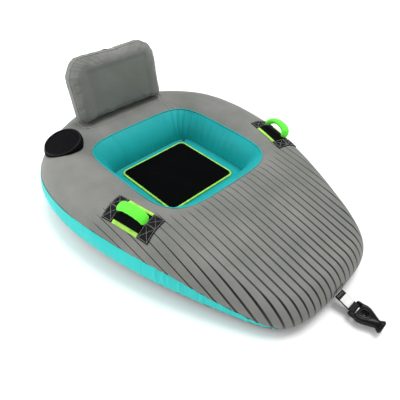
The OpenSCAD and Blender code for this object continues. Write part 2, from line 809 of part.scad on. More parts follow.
main_bladder();
floor_bladder();
deck_panel();
side_band();
bottom_panel();
cockpit_liner();
cockpit_floor();
rim_piping();
floor_pad();
pad_binding();
floor_drain();
backrest_base_strip();
backrest_bladder();
backrest_front_panel();
backrest_gusset();
backrest_rear_panel();
valve_base();
valve_cap();
valve_cover();
valve_cover_piping();
backrest_valve_base();
backrest_valve_cap();
backrest_valve_cover();
backrest_cover_piping();
port_handle_patch();
port_end_patches();
port_edge_strips();
port_knuckle_guard();
port_webbing();
port_grip();
starboard_handle_patch();
starboard_end_patches();
starboard_edge_strips();
starboard_knuckle_guard();
starboard_webbing();
starboard_grip();
tow_patch();
tow_strap();
tow_label();
tow_connector();
zipper_tape();
zipper_teeth();
zipper_slider();
zipper_pull();
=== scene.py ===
import json
import math

import bmesh
import bpy
import numpy as np
from mathutils import Matrix, Vector
from mathutils.bvhtree import BVHTree

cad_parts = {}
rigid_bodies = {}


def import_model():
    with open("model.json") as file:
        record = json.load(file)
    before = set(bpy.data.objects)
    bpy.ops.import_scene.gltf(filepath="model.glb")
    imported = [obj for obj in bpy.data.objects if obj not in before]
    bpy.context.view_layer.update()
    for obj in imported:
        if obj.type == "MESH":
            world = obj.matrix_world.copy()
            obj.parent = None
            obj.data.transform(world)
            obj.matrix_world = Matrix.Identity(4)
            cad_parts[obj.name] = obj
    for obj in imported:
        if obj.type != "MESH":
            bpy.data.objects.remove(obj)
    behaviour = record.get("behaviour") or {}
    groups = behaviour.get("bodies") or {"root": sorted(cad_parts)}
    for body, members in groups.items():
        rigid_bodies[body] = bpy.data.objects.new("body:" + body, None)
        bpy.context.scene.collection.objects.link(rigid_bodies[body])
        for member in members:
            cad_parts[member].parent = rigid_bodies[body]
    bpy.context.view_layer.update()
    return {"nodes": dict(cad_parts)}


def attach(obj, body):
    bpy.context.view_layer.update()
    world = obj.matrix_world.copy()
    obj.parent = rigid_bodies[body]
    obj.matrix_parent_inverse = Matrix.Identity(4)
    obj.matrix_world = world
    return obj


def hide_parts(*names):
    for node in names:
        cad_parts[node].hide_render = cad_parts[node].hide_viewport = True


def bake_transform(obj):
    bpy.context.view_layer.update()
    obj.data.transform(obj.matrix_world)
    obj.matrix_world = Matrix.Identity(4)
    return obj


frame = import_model()
nodes = frame["nodes"]

# ---------------------------------------------------------------- hull shape
# Metres, in the row frame. Sections stand on rays from one centre inside the cockpit.
SETBACK = 0.216
RAY = 0.004 - SETBACK
BOW, STERN, NET_HALF = 0.955, 0.720, 0.655
TUBE, NOSE, TAPER = 0.294, 0.133, 0.095
FLOOR = 0.115
RIM_Z = 0.260
FOOT = -42.0
BAND_END = 17.0


def sin(a):
    return np.sin(np.radians(a))


def cos(a):
    return np.cos(np.radians(a))


def clamp01(v):
    return np.clip(v, 0.0, 1.0)


def smooth(v, low, high):
    t = clamp01((np.asarray(v, float) - low) / (high - low))
    return t * t * (3 - 2 * t)


def outline_table():
    half = [(BOW, 0), (BOW, 0.443 * NET_HALF), (0.79 * BOW, 0.58 * NET_HALF),
            (0.277 * BOW, 0.916 * NET_HALF), (-0.6 * STERN, NET_HALF),
            (-STERN, 0.267 * NET_HALF), (-STERN, 0)]
    net = np.array(half + [(x, -y) for x, y in half[-2:0:-1]])
    t = np.linspace(0, 1, 16, endpoint=False)[:, None]
    spans = []
    for i in range(len(net)):
        a, b, c, d = (net[(i + k) % len(net)] for k in (-1, 0, 1, 2))
        spans.append(((1 - t) ** 3 * a + (3 * t ** 3 - 6 * t * t + 4) * b
                      + (-3 * t ** 3 + 3 * t * t + 3 * t + 1) * c + t ** 3 * d) / 6)
    line = np.vstack(spans)
    line = line[: len(line) // 2 + 1]
    dx, dy = line[:, 0] - 0.004, line[:, 1]
    return np.degrees(np.abs(np.arctan2(dy, dx))), np.hypot(dx, dy)


ANGLES, RADII = outline_table()


def folded(th):
    """An angle from the nose, the same on both sides."""
    return np.abs((np.asarray(th, float) + 180) % 360 - 180)


def near_nose(th):
    return smooth(-folded(th), -75, -45)


def outer_r(th):
    return np.interp(folded(th), ANGLES, RADII)


def oval_r(th, a, b, n):
    return ((np.abs(cos(th)) / a) ** n + (np.abs(sin(th)) / b) ** n) ** (-1 / n)


def floor_r(th):
    return oval_r(th, 0.246, 0.270, 8)


def rim_r(th):
    return oval_r(th, 0.348, 0.338, np.where(folded(th) < 90, 4.3, 5.0))


def tube_h(x):
    """x is in the row frame."""
    pad_x = np.asarray(x, float) + SETBACK
    return TUBE - (TUBE - NOSE) * clamp01((pad_x - TAPER) / (BOW - TAPER)) ** 1.6


def side_radius(th):
    return tube_h(RAY + outer_r(th) * cos(th)) / 2


def rim_al(th):
    """How far up the wall's arc the level rim seam is."""
    return np.degrees(np.arcsin((RIM_Z - FLOOR) / (tube_h(RAY + rim_r(th) * cos(th)) - FLOOR)))


def wall_reach(th):
    return (rim_r(th) - floor_r(th)) / (1 - cos(rim_al(th)))


def deck_reach(th):
    room = (outer_r(th) - rim_r(th) - side_radius(th) - 0.012) / cos(rim_al(th))
    return np.minimum(wall_reach(th), room)


def band_top(th):
    return FOOT + 0.6 + (21 - FOOT - 0.6) * clamp01((folded(th) - BAND_END) / 28) ** 0.45


def on_ray(th, r, z):
    return np.stack([RAY + r * cos(th), r * sin(th), z + 0 * r], axis=-1)


def wall(th, al):
    r = floor_r(th) + wall_reach(th) * (1 - cos(al))
    return on_ray(th, r, FLOOR + (tube_h(RAY + r * cos(th)) - FLOOR) * sin(al))


def deck(th, al):
    r = rim_r(th) + deck_reach(th) * (cos(rim_al(th)) - cos(al))
    return on_ray(th, r, FLOOR + (tube_h(RAY + r * cos(th)) - FLOOR) * sin(al))


def crown(th, f):
    low = rim_r(th) + deck_reach(th) * cos(rim_al(th))
    high = outer_r(th) - side_radius(th)
    r = low + (high - low) * f
    return on_ray(th, r, tube_h(RAY + r * cos(th)))


def side(th, al):
    r = outer_r(th) - side_radius(th) * (1 - cos(al))
    return on_ray(th, r, tube_h(RAY + r * cos(th)) / 2 * (1 + sin(al)))


def deck_z(x, y):
    """Height of the deck's smooth face over a place."""
    dx = np.asarray(x, float) - RAY
    th, r, h = np.degrees(np.arctan2(y, dx)), np.hypot(dx, y), tube_h(x)
    s, edge = side_radius(th), outer_r(th) - r
    over = h / 2 * (1 + np.sqrt(1 - clamp01(1 - edge / s) ** 2))
    rise = clamp01(cos(rim_al(th)) - (r - rim_r(th)) / deck_reach(th))
    inner = FLOOR + (h - FLOOR) * np.sqrt(1 - rise ** 2)
    return np.where(edge < s, over, np.where(rise > 0, inner, h))


def on_deck(x, y, lift):
    d = 0.002
    x, y = np.asarray(x, float), np.asarray(y, float)
    gx = (deck_z(x + d, y) - deck_z(x - d, y)) / (2 * d)
    gy = (deck_z(x, y + d) - deck_z(x, y - d)) / (2 * d)
    n = np.stack([-gx, -gy, np.ones_like(gx)], axis=-1)
    n /= np.linalg.norm(n, axis=-1, keepdims=True)
    return np.stack([x, y, deck_z(x, y)], axis=-1) + n * np.asarray(lift, float)[..., None]


# ---------------------------------------------------------------- wrinkles
LATTICE = np.random.RandomState(5).rand(32, 32, 32) * 2 - 1


def noise(p, scale):
    """Smooth value noise from -1 to 1 at points p; scale is metres, one number or one for each axis."""
    q = np.asarray(p, float) / scale
    i = np.floor(q).astype(int)
    f = q - i
    f = f * f * (3 - 2 * f)
    total = 0
    for cx in (0, 1):
        for cy in (0, 1):
            for cz in (0, 1):
                w = ((f[..., 0] if cx else 1 - f[..., 0]) * (f[..., 1] if cy else 1 - f[..., 1])
                     * (f[..., 2] if cz else 1 - f[..., 2]))
                x, y, z = (i[..., 0] + cx) & 31, (i[..., 1] + cy) & 31, (i[..., 2] + cz) & 31
                total = total + w * LATTICE[x, y, z]
    return total


def along(u, scale, seed):
    """One-dimensional noise."""
    u = np.asarray(u, float)
    return noise(np.stack([u, np.full_like(u, seed * scale), np.full_like(u, 0.37 * scale)], axis=-1), scale)


def fold(q, a, b, width, depth):
    """A sharp fold from a to b in the plane of q, deepest near a, with a soft ridge on each side."""
    a, b = np.array(a, float), np.array(b, float)
    t = clamp01(((q - a) @ (b - a)) / ((b - a) @ (b - a)))
    dist = np.linalg.norm(q - (a + t[..., None] * (b - a)), axis=-1)
    strength = (1 - t) ** 0.7 * smooth(t, -0.02, 0.12)
    return depth * strength * (0.55 * np.exp(-(dist / (2.2 * width)) ** 2) - np.exp(-(dist / width) ** 2))


def normals(P, wrap):
    if wrap:
        du = np.roll(P, -1, 0) - np.roll(P, 1, 0)
    else:
        du = np.gradient(P, axis=0)
    n = np.cross(du, np.gradient(P, axis=1))
    return n / np.maximum(np.linalg.norm(n, axis=-1, keepdims=True), 1e-12)


# ---------------------------------------------------------------- mesh building
def link(obj):
    bpy.context.scene.collection.objects.link(obj)
    return obj


def shade_smooth(mesh):
    mesh.polygons.foreach_set("use_smooth", np.ones(len(mesh.polygons), bool))


def mesh_from(name, verts, faces):
    mesh = bpy.data.meshes.new(name)
    mesh.from_pydata(np.asarray(verts, float).tolist(), [], [list(map(int, f)) for f in faces])
    mesh.validate()
    shade_smooth(mesh)
    return link(bpy.data.objects.new(name, mesh))


def grid_faces(n, m, wrap_n, wrap_m=False, flip=False):
    j, k = np.meshgrid(np.arange(n if wrap_n else n - 1), np.arange(m if wrap_m else m - 1), indexing="ij")
    j2, k2 = (j + 1) % n, (k + 1) % m
    quads = np.stack([j * m + k, j2 * m + k, j2 * m + k2, j * m + k2], axis=-1).reshape(-1, 4)
    return quads[:, ::-1] if flip else quads


def grid(name, P, wrap=True, flip=False, uv=None, stripes=None):
    """A skin over a grid of points. uv and stripes are UV maps with one more column of points if it wraps."""
    n, m = P.shape[:2]
    faces = grid_faces(n, m, wrap, flip=flip)
    obj = mesh_from(name, P.reshape(-1, 3), faces)
    mesh = obj.data
    for label, data in (("weave", uv), ("stripes", stripes)):
        if data is None:
            continue
        layer = mesh.uv_layers.new(name=label)
        j, k = np.meshgrid(np.arange(n if wrap else n - 1), np.arange(m - 1), indexing="ij")
        corner = np.stack([data[j, k], data[j + 1, k], data[j + 1, k + 1], data[j, k + 1]], axis=2)
        corner = corner.reshape(-1, 4, 2)
        if flip:
            corner = corner[:, ::-1]
        layer.data.foreach_set("uv", corner.astype(np.float32).ravel())
    return obj


def lengths(P, wrap):
    """UV coordinates in metres along both ways of a grid."""
    closed = np.concatenate([P, P[:1]]) if wrap else P
    middle = closed[:, closed.shape[1] // 2]
    u = np.concatenate([[0], np.cumsum(np.linalg.norm(np.diff(middle, axis=0), axis=1))])
    v = np.cumsum(np.linalg.norm(np.diff(closed, axis=1), axis=2), axis=1)
    v = np.concatenate([np.zeros((len(closed), 1)), v], axis=1)
    return np.stack([np.broadcast_to(u[:, None], v.shape), v], axis=-1)


def sweep(name, centre, right, up, profile, closed, ends=True):
    """A profile of (right, up) pairs, one or one for each place, carried along a line."""
    centre = np.asarray(centre, float)
    profile = np.asarray(profile, float)
    if profile.ndim == 2:
        profile = np.broadcast_to(profile, (len(centre),) + profile.shape)
    right, up = (np.broadcast_to(a, centre.shape)[:, None] for a in (right, up))
    P = centre[:, None] + right * profile[..., :1] + up * profile[..., 1:]
    n, m = P.shape[:2]
    faces = grid_faces(n, m, closed, True).tolist()
    if not closed and ends:
        faces.append(list(range(m)))
        faces.append(list(range(n * m - 1, (n - 1) * m - 1, -1)))
    return fix_normals(mesh_from(name, P.reshape(-1, 3), faces))


def fix_normals(obj, merge=None):
    """Turns all faces outwards, after points closer than merge have become one."""
    bm = bmesh.new()
    bm.from_mesh(obj.data)
    if merge:
        bmesh.ops.remove_doubles(bm, verts=bm.verts, dist=merge)
    bmesh.ops.recalc_face_normals(bm, faces=bm.faces)
    bm.to_mesh(obj.data)
    bm.free()
    shade_smooth(obj.data)
    return obj


def ring_profile(a, b, sides, power=1.0):
    t = np.arange(sides) * 360 / sides
    c, s = cos(t), sin(t)
    return np.stack([a * np.sign(c) * np.abs(c) ** power, b * np.sign(s) * np.abs(s) ** power], axis=-1)


def frames(line, closed, lean):
    """Right and up directions along a line; lean is the direction that up stays close to."""
    line = np.asarray(line, float)
    t = np.roll(line, -1, 0) - np.roll(line, 1, 0) if closed else np.gradient(line, axis=0)
    t /= np.linalg.norm(t, axis=1, keepdims=True)
    lean = np.broadcast_to(np.asarray(lean, float), line.shape)
    up = lean - t * (t * lean).sum(1, keepdims=True)
    up /= np.linalg.norm(up, axis=1, keepdims=True)
    return np.cross(t, up), up


def face_up(line, across, up, at):
    """Directions off the face of a ribbon whose width lies across, on the side of up at one of its points."""
    t = np.gradient(line, axis=0)
    out = np.cross(across, t / np.linalg.norm(t, axis=1, keepdims=True))
    return out if out[at] @ up > 0 else -out


def cord_along(name, line, radius, closed, lean=(0, 0, 1), sides=10, flat=1.0):
    right, up = frames(line, closed, lean)
    return sweep(name, line, right, up, ring_profile(radius, radius * flat, sides), closed)


def slab(name, place, nu, nw, low, high, edge=0.002, bulge=None):
    """A thin sewn piece lying on the deck. place(f, g) gives plan points for 0..1 both ways."""
    f = np.unique(np.concatenate([[0, 0.004, 0.012], np.linspace(0.03, 0.97, nu), [0.988, 0.996, 1]]))
    g = np.unique(np.concatenate([[0, 0.01, 0.025], np.linspace(0.05, 0.95, nw), [0.975, 0.99, 1]]))
    F, G = np.meshgrid(f, g, indexing="ij")
    xy = place(F, G)
    size_u = np.linalg.norm(place(np.array(1.0), np.array(0.5)) - place(np.array(0.0), np.array(0.5)))
    size_w = np.linalg.norm(place(np.array(0.5), np.array(1.0)) - place(np.array(0.5), np.array(0.0)))
    inset = np.minimum(np.minimum(F, 1 - F) * size_u, np.minimum(G, 1 - G) * size_w)
    round_over = np.sqrt(1 - (1 - clamp01(inset / edge)) ** 2)
    lift = low + (high - low) * round_over
    if bulge is not None:
        lift = lift + bulge(F, G)
    top = on_deck(xy[..., 0], xy[..., 1], lift)
    under = on_deck(xy[..., 0], xy[..., 1], np.full(F.shape, low - 0.0002))
    n, m = F.shape
    faces = grid_faces(n, m, False).tolist() + (grid_faces(n, m, False, flip=True) + n * m).tolist()
    loop = ([(j, 0) for j in range(n)] + [(n - 1, k) for k in range(1, m)]
            + [(j, m - 1) for j in range(n - 2, -1, -1)] + [(0, k) for k in range(m - 2, 0, -1)])
    ids = [j * m + k for j, k in loop]
    for a, b in zip(ids, ids[1:] + ids[:1]):
        faces.append([b, a, a + n * m, b + n * m])
    return fix_normals(mesh_from(name, np.concatenate([top.reshape(-1, 3), under.reshape(-1, 3)]), faces))


def stitches(name, lines, lean, length=0.0042, gap=0.0022, radius=0.00055):
    """Thread stitches along lines of points, as one mesh. lean is the way off the cloth, or finds it."""
    verts, faces = [], []
    for line in lines:
        line = np.asarray(line, float)
        run = np.concatenate([[0], np.cumsum(np.linalg.norm(np.diff(line, axis=0), axis=1))])
        count = max(1, int((run[-1] + gap) / (length + gap)))
        for s in range(count):
            a = s * (length + gap)
            ts = a + length * np.array([0, 0.15, 0.5, 0.85, 1.0])
            pts = np.stack([np.interp(ts, run, line[:, c]) for c in range(3)], axis=-1)
            up = lean(pts) if callable(lean) else np.broadcast_to(lean, pts.shape)
            t = pts[-1] - pts[0]
            t /= np.linalg.norm(t)
            right = np.cross(t, up)
            lift = np.array([-0.3, 0.35, 0.6, 0.35, -0.3]) * radius
            size = np.array([0.55, 0.95, 1.0, 0.95, 0.55]) * radius
            base = len(verts)
            for p, u, r, h, w in zip(pts, up, right, lift, size):
                for q in range(6):
                    turn = q * math.pi / 3
                    verts.append(p + u * (h + w * math.sin(turn)) + r * w * math.cos(turn))
            faces += [[base + f for f in face] for face in grid_faces(5, 6, False, True).tolist()]
            faces.append([base + q for q in range(6)])
            faces.append([base + 24 + q for q in range(5, -1, -1)])
    return fix_normals(mesh_from(name, verts, faces))


def lathe(name, profile, origin, axis, sides=64, closed=False):
    """Turns (radius, height) pairs about an axis."""
    axis = Vector(axis).normalized()
    turn = axis.to_track_quat("Z", "Y").to_matrix()
    a = np.arange(sides) * 360 / sides
    ring = np.array([[(r * cos(t), r * sin(t), h) for r, h in profile] for t in a])
    P = ring.reshape(-1, 3) @ np.array(turn).T + np.array(origin)
    return fix_normals(mesh_from(name, P, grid_faces(sides, len(profile), True, closed)), 1e-6)


def modify(obj, kind, **settings):
    m = obj.modifiers.new(kind.title(), kind)
    for key, value in settings.items():
        setattr(m, key, value)
    return m


def apply_modifiers(obj):
    bpy.context.view_layer.update()
    dg = bpy.context.evaluated_depsgraph_get()
    done = bpy.data.meshes.new_from_object(obj.evaluated_get(dg))
    obj.modifiers.clear()
    obj.data = done
    shade_smooth(done)
    return obj


def join(name, objs):
    """One object from several, with their materials."""
    bm = bmesh.new()
    mats = []
    for o in objs:
        start = len(bm.faces)
        bm.from_mesh(o.data)
        bm.faces.ensure_lookup_table()
        for f in bm.faces[start:]:
            m = o.data.materials[f.material_index] if o.data.materials else None
            if m not in mats:
                mats.append(m)
            f.material_index = mats.index(m)
    mesh = bpy.data.meshes.new(name)
    bm.to_mesh(mesh)
    bm.free()
    for m in mats:
        mesh.materials.append(m)
    for o in objs:
        bpy.data.objects.remove(o)
    return link(bpy.data.objects.new(name, mesh))


def place_piece(obj, body, material, replaces=()):
    if material is not None:
        obj.data.materials.clear()
        obj.data.materials.append(material)
    if obj.parent is None and body:
        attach(obj, body)
    if replaces:
        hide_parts(*replaces)
    return obj


# ---------------------------------------------------------------- materials
class Shader:
    """A short way to write a node material."""

    def __init__(self, name):
        self.mat = bpy.data.materials.new(name)
        self.mat.use_nodes = True
        self.tree = self.mat.node_tree
        self.tree.nodes.clear()
        self.out = self.tree.nodes.new("ShaderNodeOutputMaterial")
        self.bsdf = self.node("ShaderNodeBsdfPrincipled")
        self.tree.links.new(self.bsdf.outputs[0], self.out.inputs[0])

    def node(self, kind, inputs=None, **props):
        n = self.tree.nodes.new(kind)
        for key, value in props.items():
            setattr(n, key, value)
        for key, value in (inputs or {}).items():
            self.put(n.inputs[key], value)
        return n

    def put(self, socket, value):
        if isinstance(value, bpy.types.NodeSocket):
            self.tree.links.new(value, socket)
        elif isinstance(value, (tuple, list)) and len(value) == 3 and socket.type == "RGBA":
            socket.default_value = (*value, 1)
        else:
            socket.default_value = value

    def math(self, op, a, b=0.0, clamp=False):
        n = self.node("ShaderNodeMath", {0: a, 1: b}, operation=op)
        n.use_clamp = clamp
        return n.outputs[0]

    def mix(self, factor, a, b, blend="MIX"):
        n = self.node("ShaderNodeMix", data_type="RGBA", blend_type=blend)
        for i, value in ((0, factor), (6, a), (7, b)):
            self.put(n.inputs[i], value)
        return n.outputs[2]

    def noise(self, vector, scale, detail=3.0, rough=0.5):
        n = self.node("ShaderNodeTexNoise", {"Vector": vector, "Scale": scale, "Detail": detail,
                                             "Roughness": rough})
        return n.outputs["Fac"]

    def ramp(self, value, low, high, out_low=0.0, out_high=1.0):
        n = self.node("ShaderNodeMapRange", {"Value": value, "From Min": low, "From Max": high,
                                             "To Min": out_low, "To Max": out_high})
        return n.outputs["Result"]

    def object_coords(self):
        return self.node("ShaderNodeTexCoord").outputs["Object"]

    def uv(self, name):
        return self.node("ShaderNodeUVMap", uv_map=name).outputs["UV"]

    def scaled(self, vector, scale):
        return self.node("ShaderNodeMapping", {"Vector": vector, "Scale": scale}).outputs["Vector"]

    def bump(self, height, distance, strength=1.0, under=None):
        inputs = {"Height": height, "Distance": distance, "Strength": strength}
        if under is not None:
            inputs["Normal"] = under
        return self.node("ShaderNodeBump", inputs).outputs["Normal"]

    def finish(self, base, roughness, normal=None, constants=None):
        """Wires up the shader; numbers that are the same all over are set on their own sockets."""
        for key, value in (("Base Color", base), ("Roughness", roughness), ("Normal", normal)):
            if value is not None:
                self.put(self.bsdf.inputs[key], value)
        for key, value in (constants or {}).items():
            self.bsdf.inputs[key].default_value = value
        return self.mat


def times(colour, factor, more=0.0):
    return tuple(min(1.0, c * factor + more) for c in colour)


def weave_height(s, vector, pitch):
    """Over-and-under threads: two crossed sine bands, from 0 to 1."""
    xyz = s.node("ShaderNodeSeparateXYZ", {0: vector})
    turn = math.pi / pitch
    a = s.math("SINE", s.math("MULTIPLY", xyz.outputs[0], turn))
    b = s.math("SINE", s.math("MULTIPLY", xyz.outputs[1], turn))
    return s.math("ADD", s.math("MULTIPLY", s.math("MULTIPLY", a, b), 0.5), 0.5)


def cloth(name, colour, pitch=0.0007, rough=0.62, spread=0.10, grain=0.06, relief=0.00012,
          uv=None, sheen=0.08, crumple=0.0006, tint=None, stripes=False, specular=0.3):
    """Woven fabric: thread relief, mottled dye, fine crumple, a soft sheen, and painted shade in the low
    points of the weave.
    """
    s = Shader(name)
    at = s.object_coords()
    threads = s.uv(uv) if uv else at
    weave = weave_height(s, threads, pitch)
    patchy = s.noise(at, 5.0, 4.0, 0.55)
    fine = s.noise(at, 240.0, 2.0, 0.6)
    base = s.mix(s.ramp(patchy, 0.32, 0.68), times(colour, 1 - spread), times(tint or colour, 1 + spread))
    base = s.mix(s.math("MULTIPLY", s.math("SUBTRACT", fine, 0.5), 2 * grain, True), base, (1.0, 1.0, 1.0))
    # painted shade: the low points of the weave are darkened by up to a tenth towards black
    base = s.mix(s.ramp(weave, 0.0, 1.0, 0.10, 0.0), base, (0.0, 0.0, 0.0))
    roughness = s.ramp(s.noise(at, 11.0, 3.0), 0.3, 0.7, rough - 0.06, rough + 0.08)
    if stripes:
        xy = s.node("ShaderNodeSeparateXYZ", {0: s.uv("stripes")})
        near = s.math("PINGPONG", xy.outputs[0], 0.5)
        ragged = s.math("MULTIPLY", s.math("SUBTRACT", s.noise(at, 420.0, 2.0), 0.5), 0.012)
        gap = s.math("SUBTRACT", s.math("ADD", xy.outputs[1], ragged), near)
        ink = s.ramp(gap, -0.006, 0.006)
        base = s.mix(ink, base, (0.002, 0.002, 0.003))
        roughness = s.mix(ink, roughness, (0.42, 0.42, 0.42))
    wrinkle = s.bump(s.noise(at, 34.0, 5.0, 0.6), crumple)
    return s.finish(base, roughness, s.bump(weave, relief, 0.8, wrinkle),
                    {"Sheen Weight": sheen, "Sheen Roughness": 0.45, "Specular IOR Level": specular})


def webbing_cloth(name, colour, rib=0.0016, rough=0.55):
    """Strap webbing: ribs across its width and a fine chevron along it, with painted shade in the low points
    of the ribs.
    """
    s = Shader(name)
    at = s.object_coords()
    xyz = s.node("ShaderNodeSeparateXYZ", {0: at})
    across = s.math("SINE", s.math("MULTIPLY", xyz.outputs[1], 2 * math.pi / rib))
    zigzag = s.math("PINGPONG", xyz.outputs[1], 2 * rib)
    slope = s.math("ADD", xyz.outputs[0], s.math("MULTIPLY", zigzag, 1.4))
    twill = s.math("SINE", s.math("MULTIPLY", slope, 2 * math.pi / (1.3 * rib)))
    height = s.math("ADD", s.math("MULTIPLY", across, 0.35), s.math("MULTIPLY", twill, 0.35))
    fade = s.noise(at, 45.0, 4.0)
    base = s.mix(s.ramp(fade, 0.3, 0.75), times(colour, 0.75), times(colour, 1.25, 0.004))
    # painted shade: the low points of the ribs are darkened by up to a quarter towards black
    base = s.mix(s.ramp(height, -0.7, 0.7, 0.25, 0.0), base, (0, 0, 0))
    return s.finish(base, s.ramp(fade, 0.2, 0.8, rough - 0.08, rough + 0.1), s.bump(height, 0.0003, 0.8),
                    {"Sheen Weight": 0.03, "Specular IOR Level": 0.2})


def moulded(name, colour, rough=0.3, grain=0.00004, scratch=0.12, coat=0.0, specular=0.5):
    """Moulded plastic: fine tooling grain, smudges and a few scuffs."""
    s = Shader(name)
    at = s.object_coords()
    smudge = s.noise(at, 26.0, 5.0, 0.62)
    scuff = s.ramp(s.noise(s.scaled(at, (1.0, 0.14, 1.0)), 900.0, 2.0), 0.66, 0.78)
    base = s.mix(s.ramp(smudge, 0.3, 0.7), times(colour, 0.85), times(colour, 1.2))
    base = s.mix(s.math("MULTIPLY", scuff, scratch), base, (0.35, 0.35, 0.36))
    roughness = s.ramp(smudge, 0.25, 0.75, rough * 0.75, rough * 1.35)
    return s.finish(base, roughness, s.bump(s.noise(at, 1400.0, 2.0), grain),
                    {"Coat Weight": coat, "Coat Roughness": 0.08, "Specular IOR Level": specular})


def foam(name, colour):
    """Closed-cell foam sheet: pores and a worn bloom."""
    s = Shader(name)
    at = s.object_coords()
    pores = s.node("ShaderNodeTexVoronoi", {"Vector": at, "Scale": 900.0}).outputs["Distance"]
    bloom = s.ramp(s.noise(at, 8.0, 4.0), 0.35, 0.75)
    base = s.mix(bloom, colour, times(colour, 1.5))
    return s.finish(base, s.ramp(pores, 0.0, 0.8, 0.78, 0.95), s.bump(pores, 0.00015, 0.7),
                    {"Specular IOR Level": 0.03})


def metal(name, colour, rough=0.25):
    s = Shader(name)
    at = s.object_coords()
    brushed = s.noise(s.scaled(at, (1.0, 0.06, 1.0)), 2600.0, 2.0)
    stain = s.noise(at, 60.0, 4.0)
    base = s.mix(s.ramp(stain, 0.4, 0.7), colour, times(colour, 0.72))
    return s.finish(base, s.ramp(stain, 0.3, 0.7, rough, rough + 0.18), s.bump(brushed, 0.00003),
                    {"Metallic": 1.0})


GRAY = (0.160, 0.168, 0.150)
GRAY_TINT = (0.182, 0.182, 0.168)
M = {
    "deck": cloth("gray_nylon_striped", GRAY, uv="weave", tint=GRAY_TINT, stripes=True),
    "gray": cloth("gray_nylon", GRAY, tint=GRAY_TINT, crumple=0.0011),
    # a slightly darker copy of the gray cloth: painted shade for the backrest's sunken front panel
    "painted_shade_gray": cloth("gray_nylon_painted_shade", times(GRAY, 0.95), tint=GRAY, crumple=0.0011),
    "band": cloth("teal_band_nylon", (0.018, 0.540, 0.510), uv="weave", rough=0.5, spread=0.06, sheen=0.02,
                  grain=0.02, specular=0.2),
    "liner": cloth("teal_liner_nylon", (0.003, 0.330, 0.340), uv="weave", rough=0.5, spread=0.08, sheen=0.02,
                   grain=0.015, specular=0.18),
    "piping": cloth("teal_piping", (0.015, 0.430, 0.430), rough=0.5, crumple=0.0002, sheen=0.02, grain=0.02),
    # a darker teal: painted shade for the crease at the foot of the cockpit wall
    "crease_painted_shade": cloth("teal_crease_painted_shade", (0.004, 0.150, 0.160), rough=0.6, crumple=0.0002),
    "soft_black": cloth("black_binding", (0.004, 0.004, 0.005), pitch=0.0009, rough=0.5, sheen=0.0,
                        crumple=0.0002, grain=0.01, specular=0.15),
    "bottom": cloth("black_coated_nylon", (0.012, 0.012, 0.013), pitch=0.0012, rough=0.5, uv="weave"),
    "patch": cloth("black_patch", (0.004, 0.004, 0.005), pitch=0.0013, rough=0.6, relief=0.0002,
                   crumple=0.0003, sheen=0.0, grain=0.01, specular=0.12),
    "neoprene": cloth("black_neoprene", (0.002, 0.002, 0.003), pitch=0.0009, rough=0.75, sheen=0.0,
                      crumple=0.0002, grain=0.006, specular=0.06),
    "grip": cloth("lime_grip_sleeve", (0.110, 0.820, 0.035), pitch=0.0008, rough=0.55, spread=0.08,
                  sheen=0.05, crumple=0.0005),
    "lime": webbing_cloth("lime_binding", (0.420, 0.860, 0.110)),
    "webbing": webbing_cloth("black_webbing", (0.004, 0.004, 0.005)),
    "thread": webbing_cloth("pale_thread", (0.420, 0.420, 0.410), rib=0.0005),
    "label": cloth("white_label_satin", (0.780, 0.780, 0.760), pitch=0.0004, rough=0.35, spread=0.02,
                   grain=0.01),
    "plastic": moulded("black_plastic", (0.012, 0.012, 0.013), rough=0.45),
    "gloss": moulded("gloss_black_plastic", (0.004, 0.004, 0.005), rough=0.2, coat=0.04, grain=0.00002,
                      scratch=0.0, specular=0.1),
    "foam": foam("eva_foam", (0.0012, 0.0012, 0.0014)),
    "steel": metal("plated_steel", (0.70, 0.70, 0.72)),
    "piping_gray": cloth("gray_piping", (0.270, 0.275, 0.255), crumple=0.0002),
}


# ---------------------------------------------------------------- hull covers
HANDLE = (0.238 - SETBACK, 0.455)
HANDLE_TURN = 12.4
PATCH_HALF, PATCH_W, END_IN = 0.118, 0.059, 0.064
VALVE = (-0.378 - SETBACK, -0.404)
COVER_R = 0.094


def calm(P):
    """0 where patches and the valve cover lie on the deck, 1 away from them."""
    x, y = P[..., 0], P[..., 1]
    keep = smooth(np.hypot(x - VALVE[0], y - VALVE[1]), COVER_R, COVER_R + 0.05)
    u = (x - HANDLE[0]) * cos(HANDLE_TURN) - (np.abs(y) - HANDLE[1]) * sin(HANDLE_TURN)
    w = (x - HANDLE[0]) * sin(HANDLE_TURN) + (np.abs(y) - HANDLE[1]) * cos(HANDLE_TURN)
    off = np.maximum(np.abs(u) - PATCH_HALF, np.abs(w) - PATCH_W)
    nose = smooth(x, 0.68, 0.70) * (1 - smooth(np.abs(y), 0.038, 0.055))
    return keep * smooth(off, 0.0, 0.03) * (1 - nose)


BACK = (-0.698, 0.015)
BACK_HALF = 0.232


# (turn, length, depth) of the folds that run from the backrest's foot
BACK_FOLDS = ((-4, 0.22, 0.0056), (10, 0.18, 0.0042), (24, 0.16, 0.0050), (-20, 0.13, 0.0032),
              (62, 0.20, 0.0044), (84, 0.16, 0.0034))
# (start, end, depth) of the folds on the front deck
NOSE_FOLDS = (((0.55, 0.13), (0.66, 0.10), 0.0036), ((0.60, 0.20), (0.66, 0.13), 0.0034),
              ((0.60, -0.12), (0.70, -0.16), 0.0032), ((0.52, -0.22), (0.60, -0.27), 0.0034),
              ((0.66, 0.02), (0.71, 0.05), 0.0026), ((0.42, -0.33), (0.44, -0.42), 0.0044))
